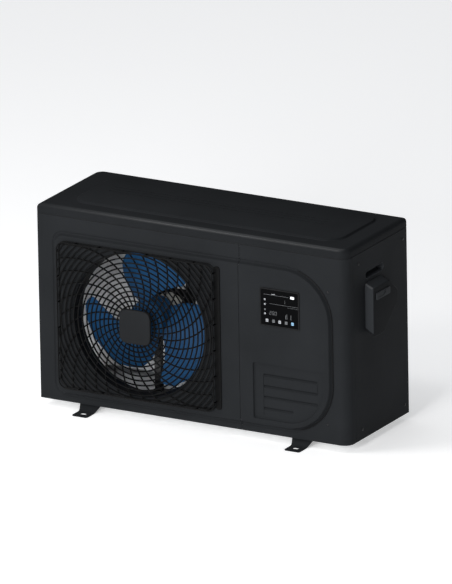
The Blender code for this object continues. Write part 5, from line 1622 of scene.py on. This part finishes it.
def make_figures():
    """Lit legends: side keys, header line and block, faint values and five touch keys."""
    marks = {tone: bmesh.new() for tone in ("white", "soft", "faint", "cyan")}
    glyphs = bmesh.new()
    tile(marks["white"], panel_spot(0.8385, 0.4215), 0.0125, 0.0076)
    side_keys = ((0.4060, sun_icon, "soft"), (0.3920, flake_icon, "soft"),
                 (0.3765, wave_icon, "faint"), (0.3640, fan_icon, "soft"))
    for upward, icon, tone in side_keys:
        centre = panel_spot(0.7495, upward)
        tile(marks[tone], centre, SIDE_KEY, SIDE_KEY)
        icon(glyphs, centre, SIDE_KEY * 0.34)
    keys = ((0.7560, power_icon, "soft"), (0.7770, clock_icon, "faint"),
            (0.7970, sun_icon, "soft"), (0.8180, None, "faint"), (0.8385, None, "cyan"))
    for index, (across, icon, tone) in enumerate(keys):
        centre = panel_spot(across, 0.3445)
        tile(marks[tone], centre, KEY_WIDTH, KEY_HEIGHT)
        if icon:
            icon(glyphs, centre, KEY_WIDTH * 0.30)
        else:
            arrow_icon(glyphs, centre, KEY_WIDTH * 0.30, 1 if index == 3 else -1)
    faint = marks["faint"]
    stroke(faint, [panel_spot(0.7460, 0.4215), panel_spot(0.8260, 0.4215)], 0.0008)
    tile(marks["soft"], panel_spot(0.7770, 0.4240), 0.0105, 0.0016)
    stroke(faint, [panel_spot(0.7650, 0.3955), panel_spot(0.8570, 0.3955)], 0.0007)
    stroke(faint, [panel_spot(0.8220, 0.3905), panel_spot(0.8570, 0.3905)], 0.0005)
    stroke(faint, [panel_spot(0.8145, 0.4110), panel_spot(0.8145, 0.4010)], 0.0007)
    for index, figure in enumerate("280"):
        digit(faint, panel_spot(0.7635 + 0.0088 * index, 0.3630), 0.0054, 0.0098, figure)
    for across, tall in ((0.8165, 0.0110), (0.8205, 0.0140), (0.8335, 0.0130)):
        base = panel_spot(across, 0.3560)
        stroke(faint, [base, base + Vector((0, tall))], 0.0014)
    for tone, bm in marks.items():
        fit(add_mesh(f"display_{tone}_figures", bm, FINISHES[tone]), "casing", "glass")
    bmesh.ops.translate(glyphs, verts=glyphs.verts, vec=(0, -0.00005, 0))
    fit(add_mesh("display_glyphs", glyphs, FINISHES["glass"]), "casing", "glass")


# ---------------------------------------------------------------- finishes for kept solids

KEPT_FINISHES = {
    "black": ("power_gland", "drain_nozzle", "flow_switch", "display_housing"),
    "zinc": ("base_pan", "motor_shaft", "fan_lock_nut", "coil_end_plate_front",
             "coil_end_plate_rear", "partition_plate", "control_box", "control_box_lid",
             "heat_sink", "exchanger_band"),
    "guard": ("motor_bracket",),
    "copper": ("discharge_pipe", "suction_pipe", "coil_gas_pipe", "exchanger_gas_pipe"),
    "brass": ("four_way_valve", "expansion_valve", "flow_paddle"),
    "steel": ("compressor", "accumulator"),
    "rubber": ("compressor_grommet_1", "compressor_grommet_2", "compressor_grommet_3",
               "inlet_seal", "outlet_seal"),
    "vessel": ("heat_exchanger",),
    "board": ("power_board",),
    "ceramic": ("terminal_block", "fan_motor"),
}


def dress_kept_nodes():
    for finish, names in KEPT_FINISHES.items():
        for name in names:
            item = bpy.data.objects[name]
            for slot in item.material_slots:
                slot.material = FINISHES[finish]


FINISHES = make_finishes()
make_camera()
make_studio()
make_front_panel(FINISHES["casing"])
make_orifice_lip(FINISHES["casing"])
make_control_panel(FINISHES["casing"])
make_louvre_panel(FINISHES["casing"], FINISHES["black"])
make_seals(FINISHES["rubber"])
# Painted shade: dark cord in the groove at the raised field's right end.
make_painted_shade_cord(FINISHES["black"])
make_top_cover(FINISHES["lid"])
make_side_panel(FINISHES["casing"])
make_hood(FINISHES["hood"], FINISHES["latch"])
make_grip(FINISHES["cup"])
make_guard(FINISHES["guard"])
make_impeller(FINISHES["blue"])
make_shroud(FINISHES["black"])
make_coil(FINISHES["fins"], FINISHES["copper"])
make_coil_guards(FINISHES["guard"])
make_corner_post(FINISHES["casing"])
make_rear_panel(FINISHES["casing"])
for union_label in NUT_BOXES:
    make_union(union_label, FINISHES["vessel"], FINISHES["black"])
for rail_name in ("foot_rail_left", "foot_rail_right"):
    make_foot(rail_name, FINISHES["casing"])
make_display(FINISHES["black"], FINISHES["glass"])
make_screws(FINISHES["screw"])
dress_kept_nodes()
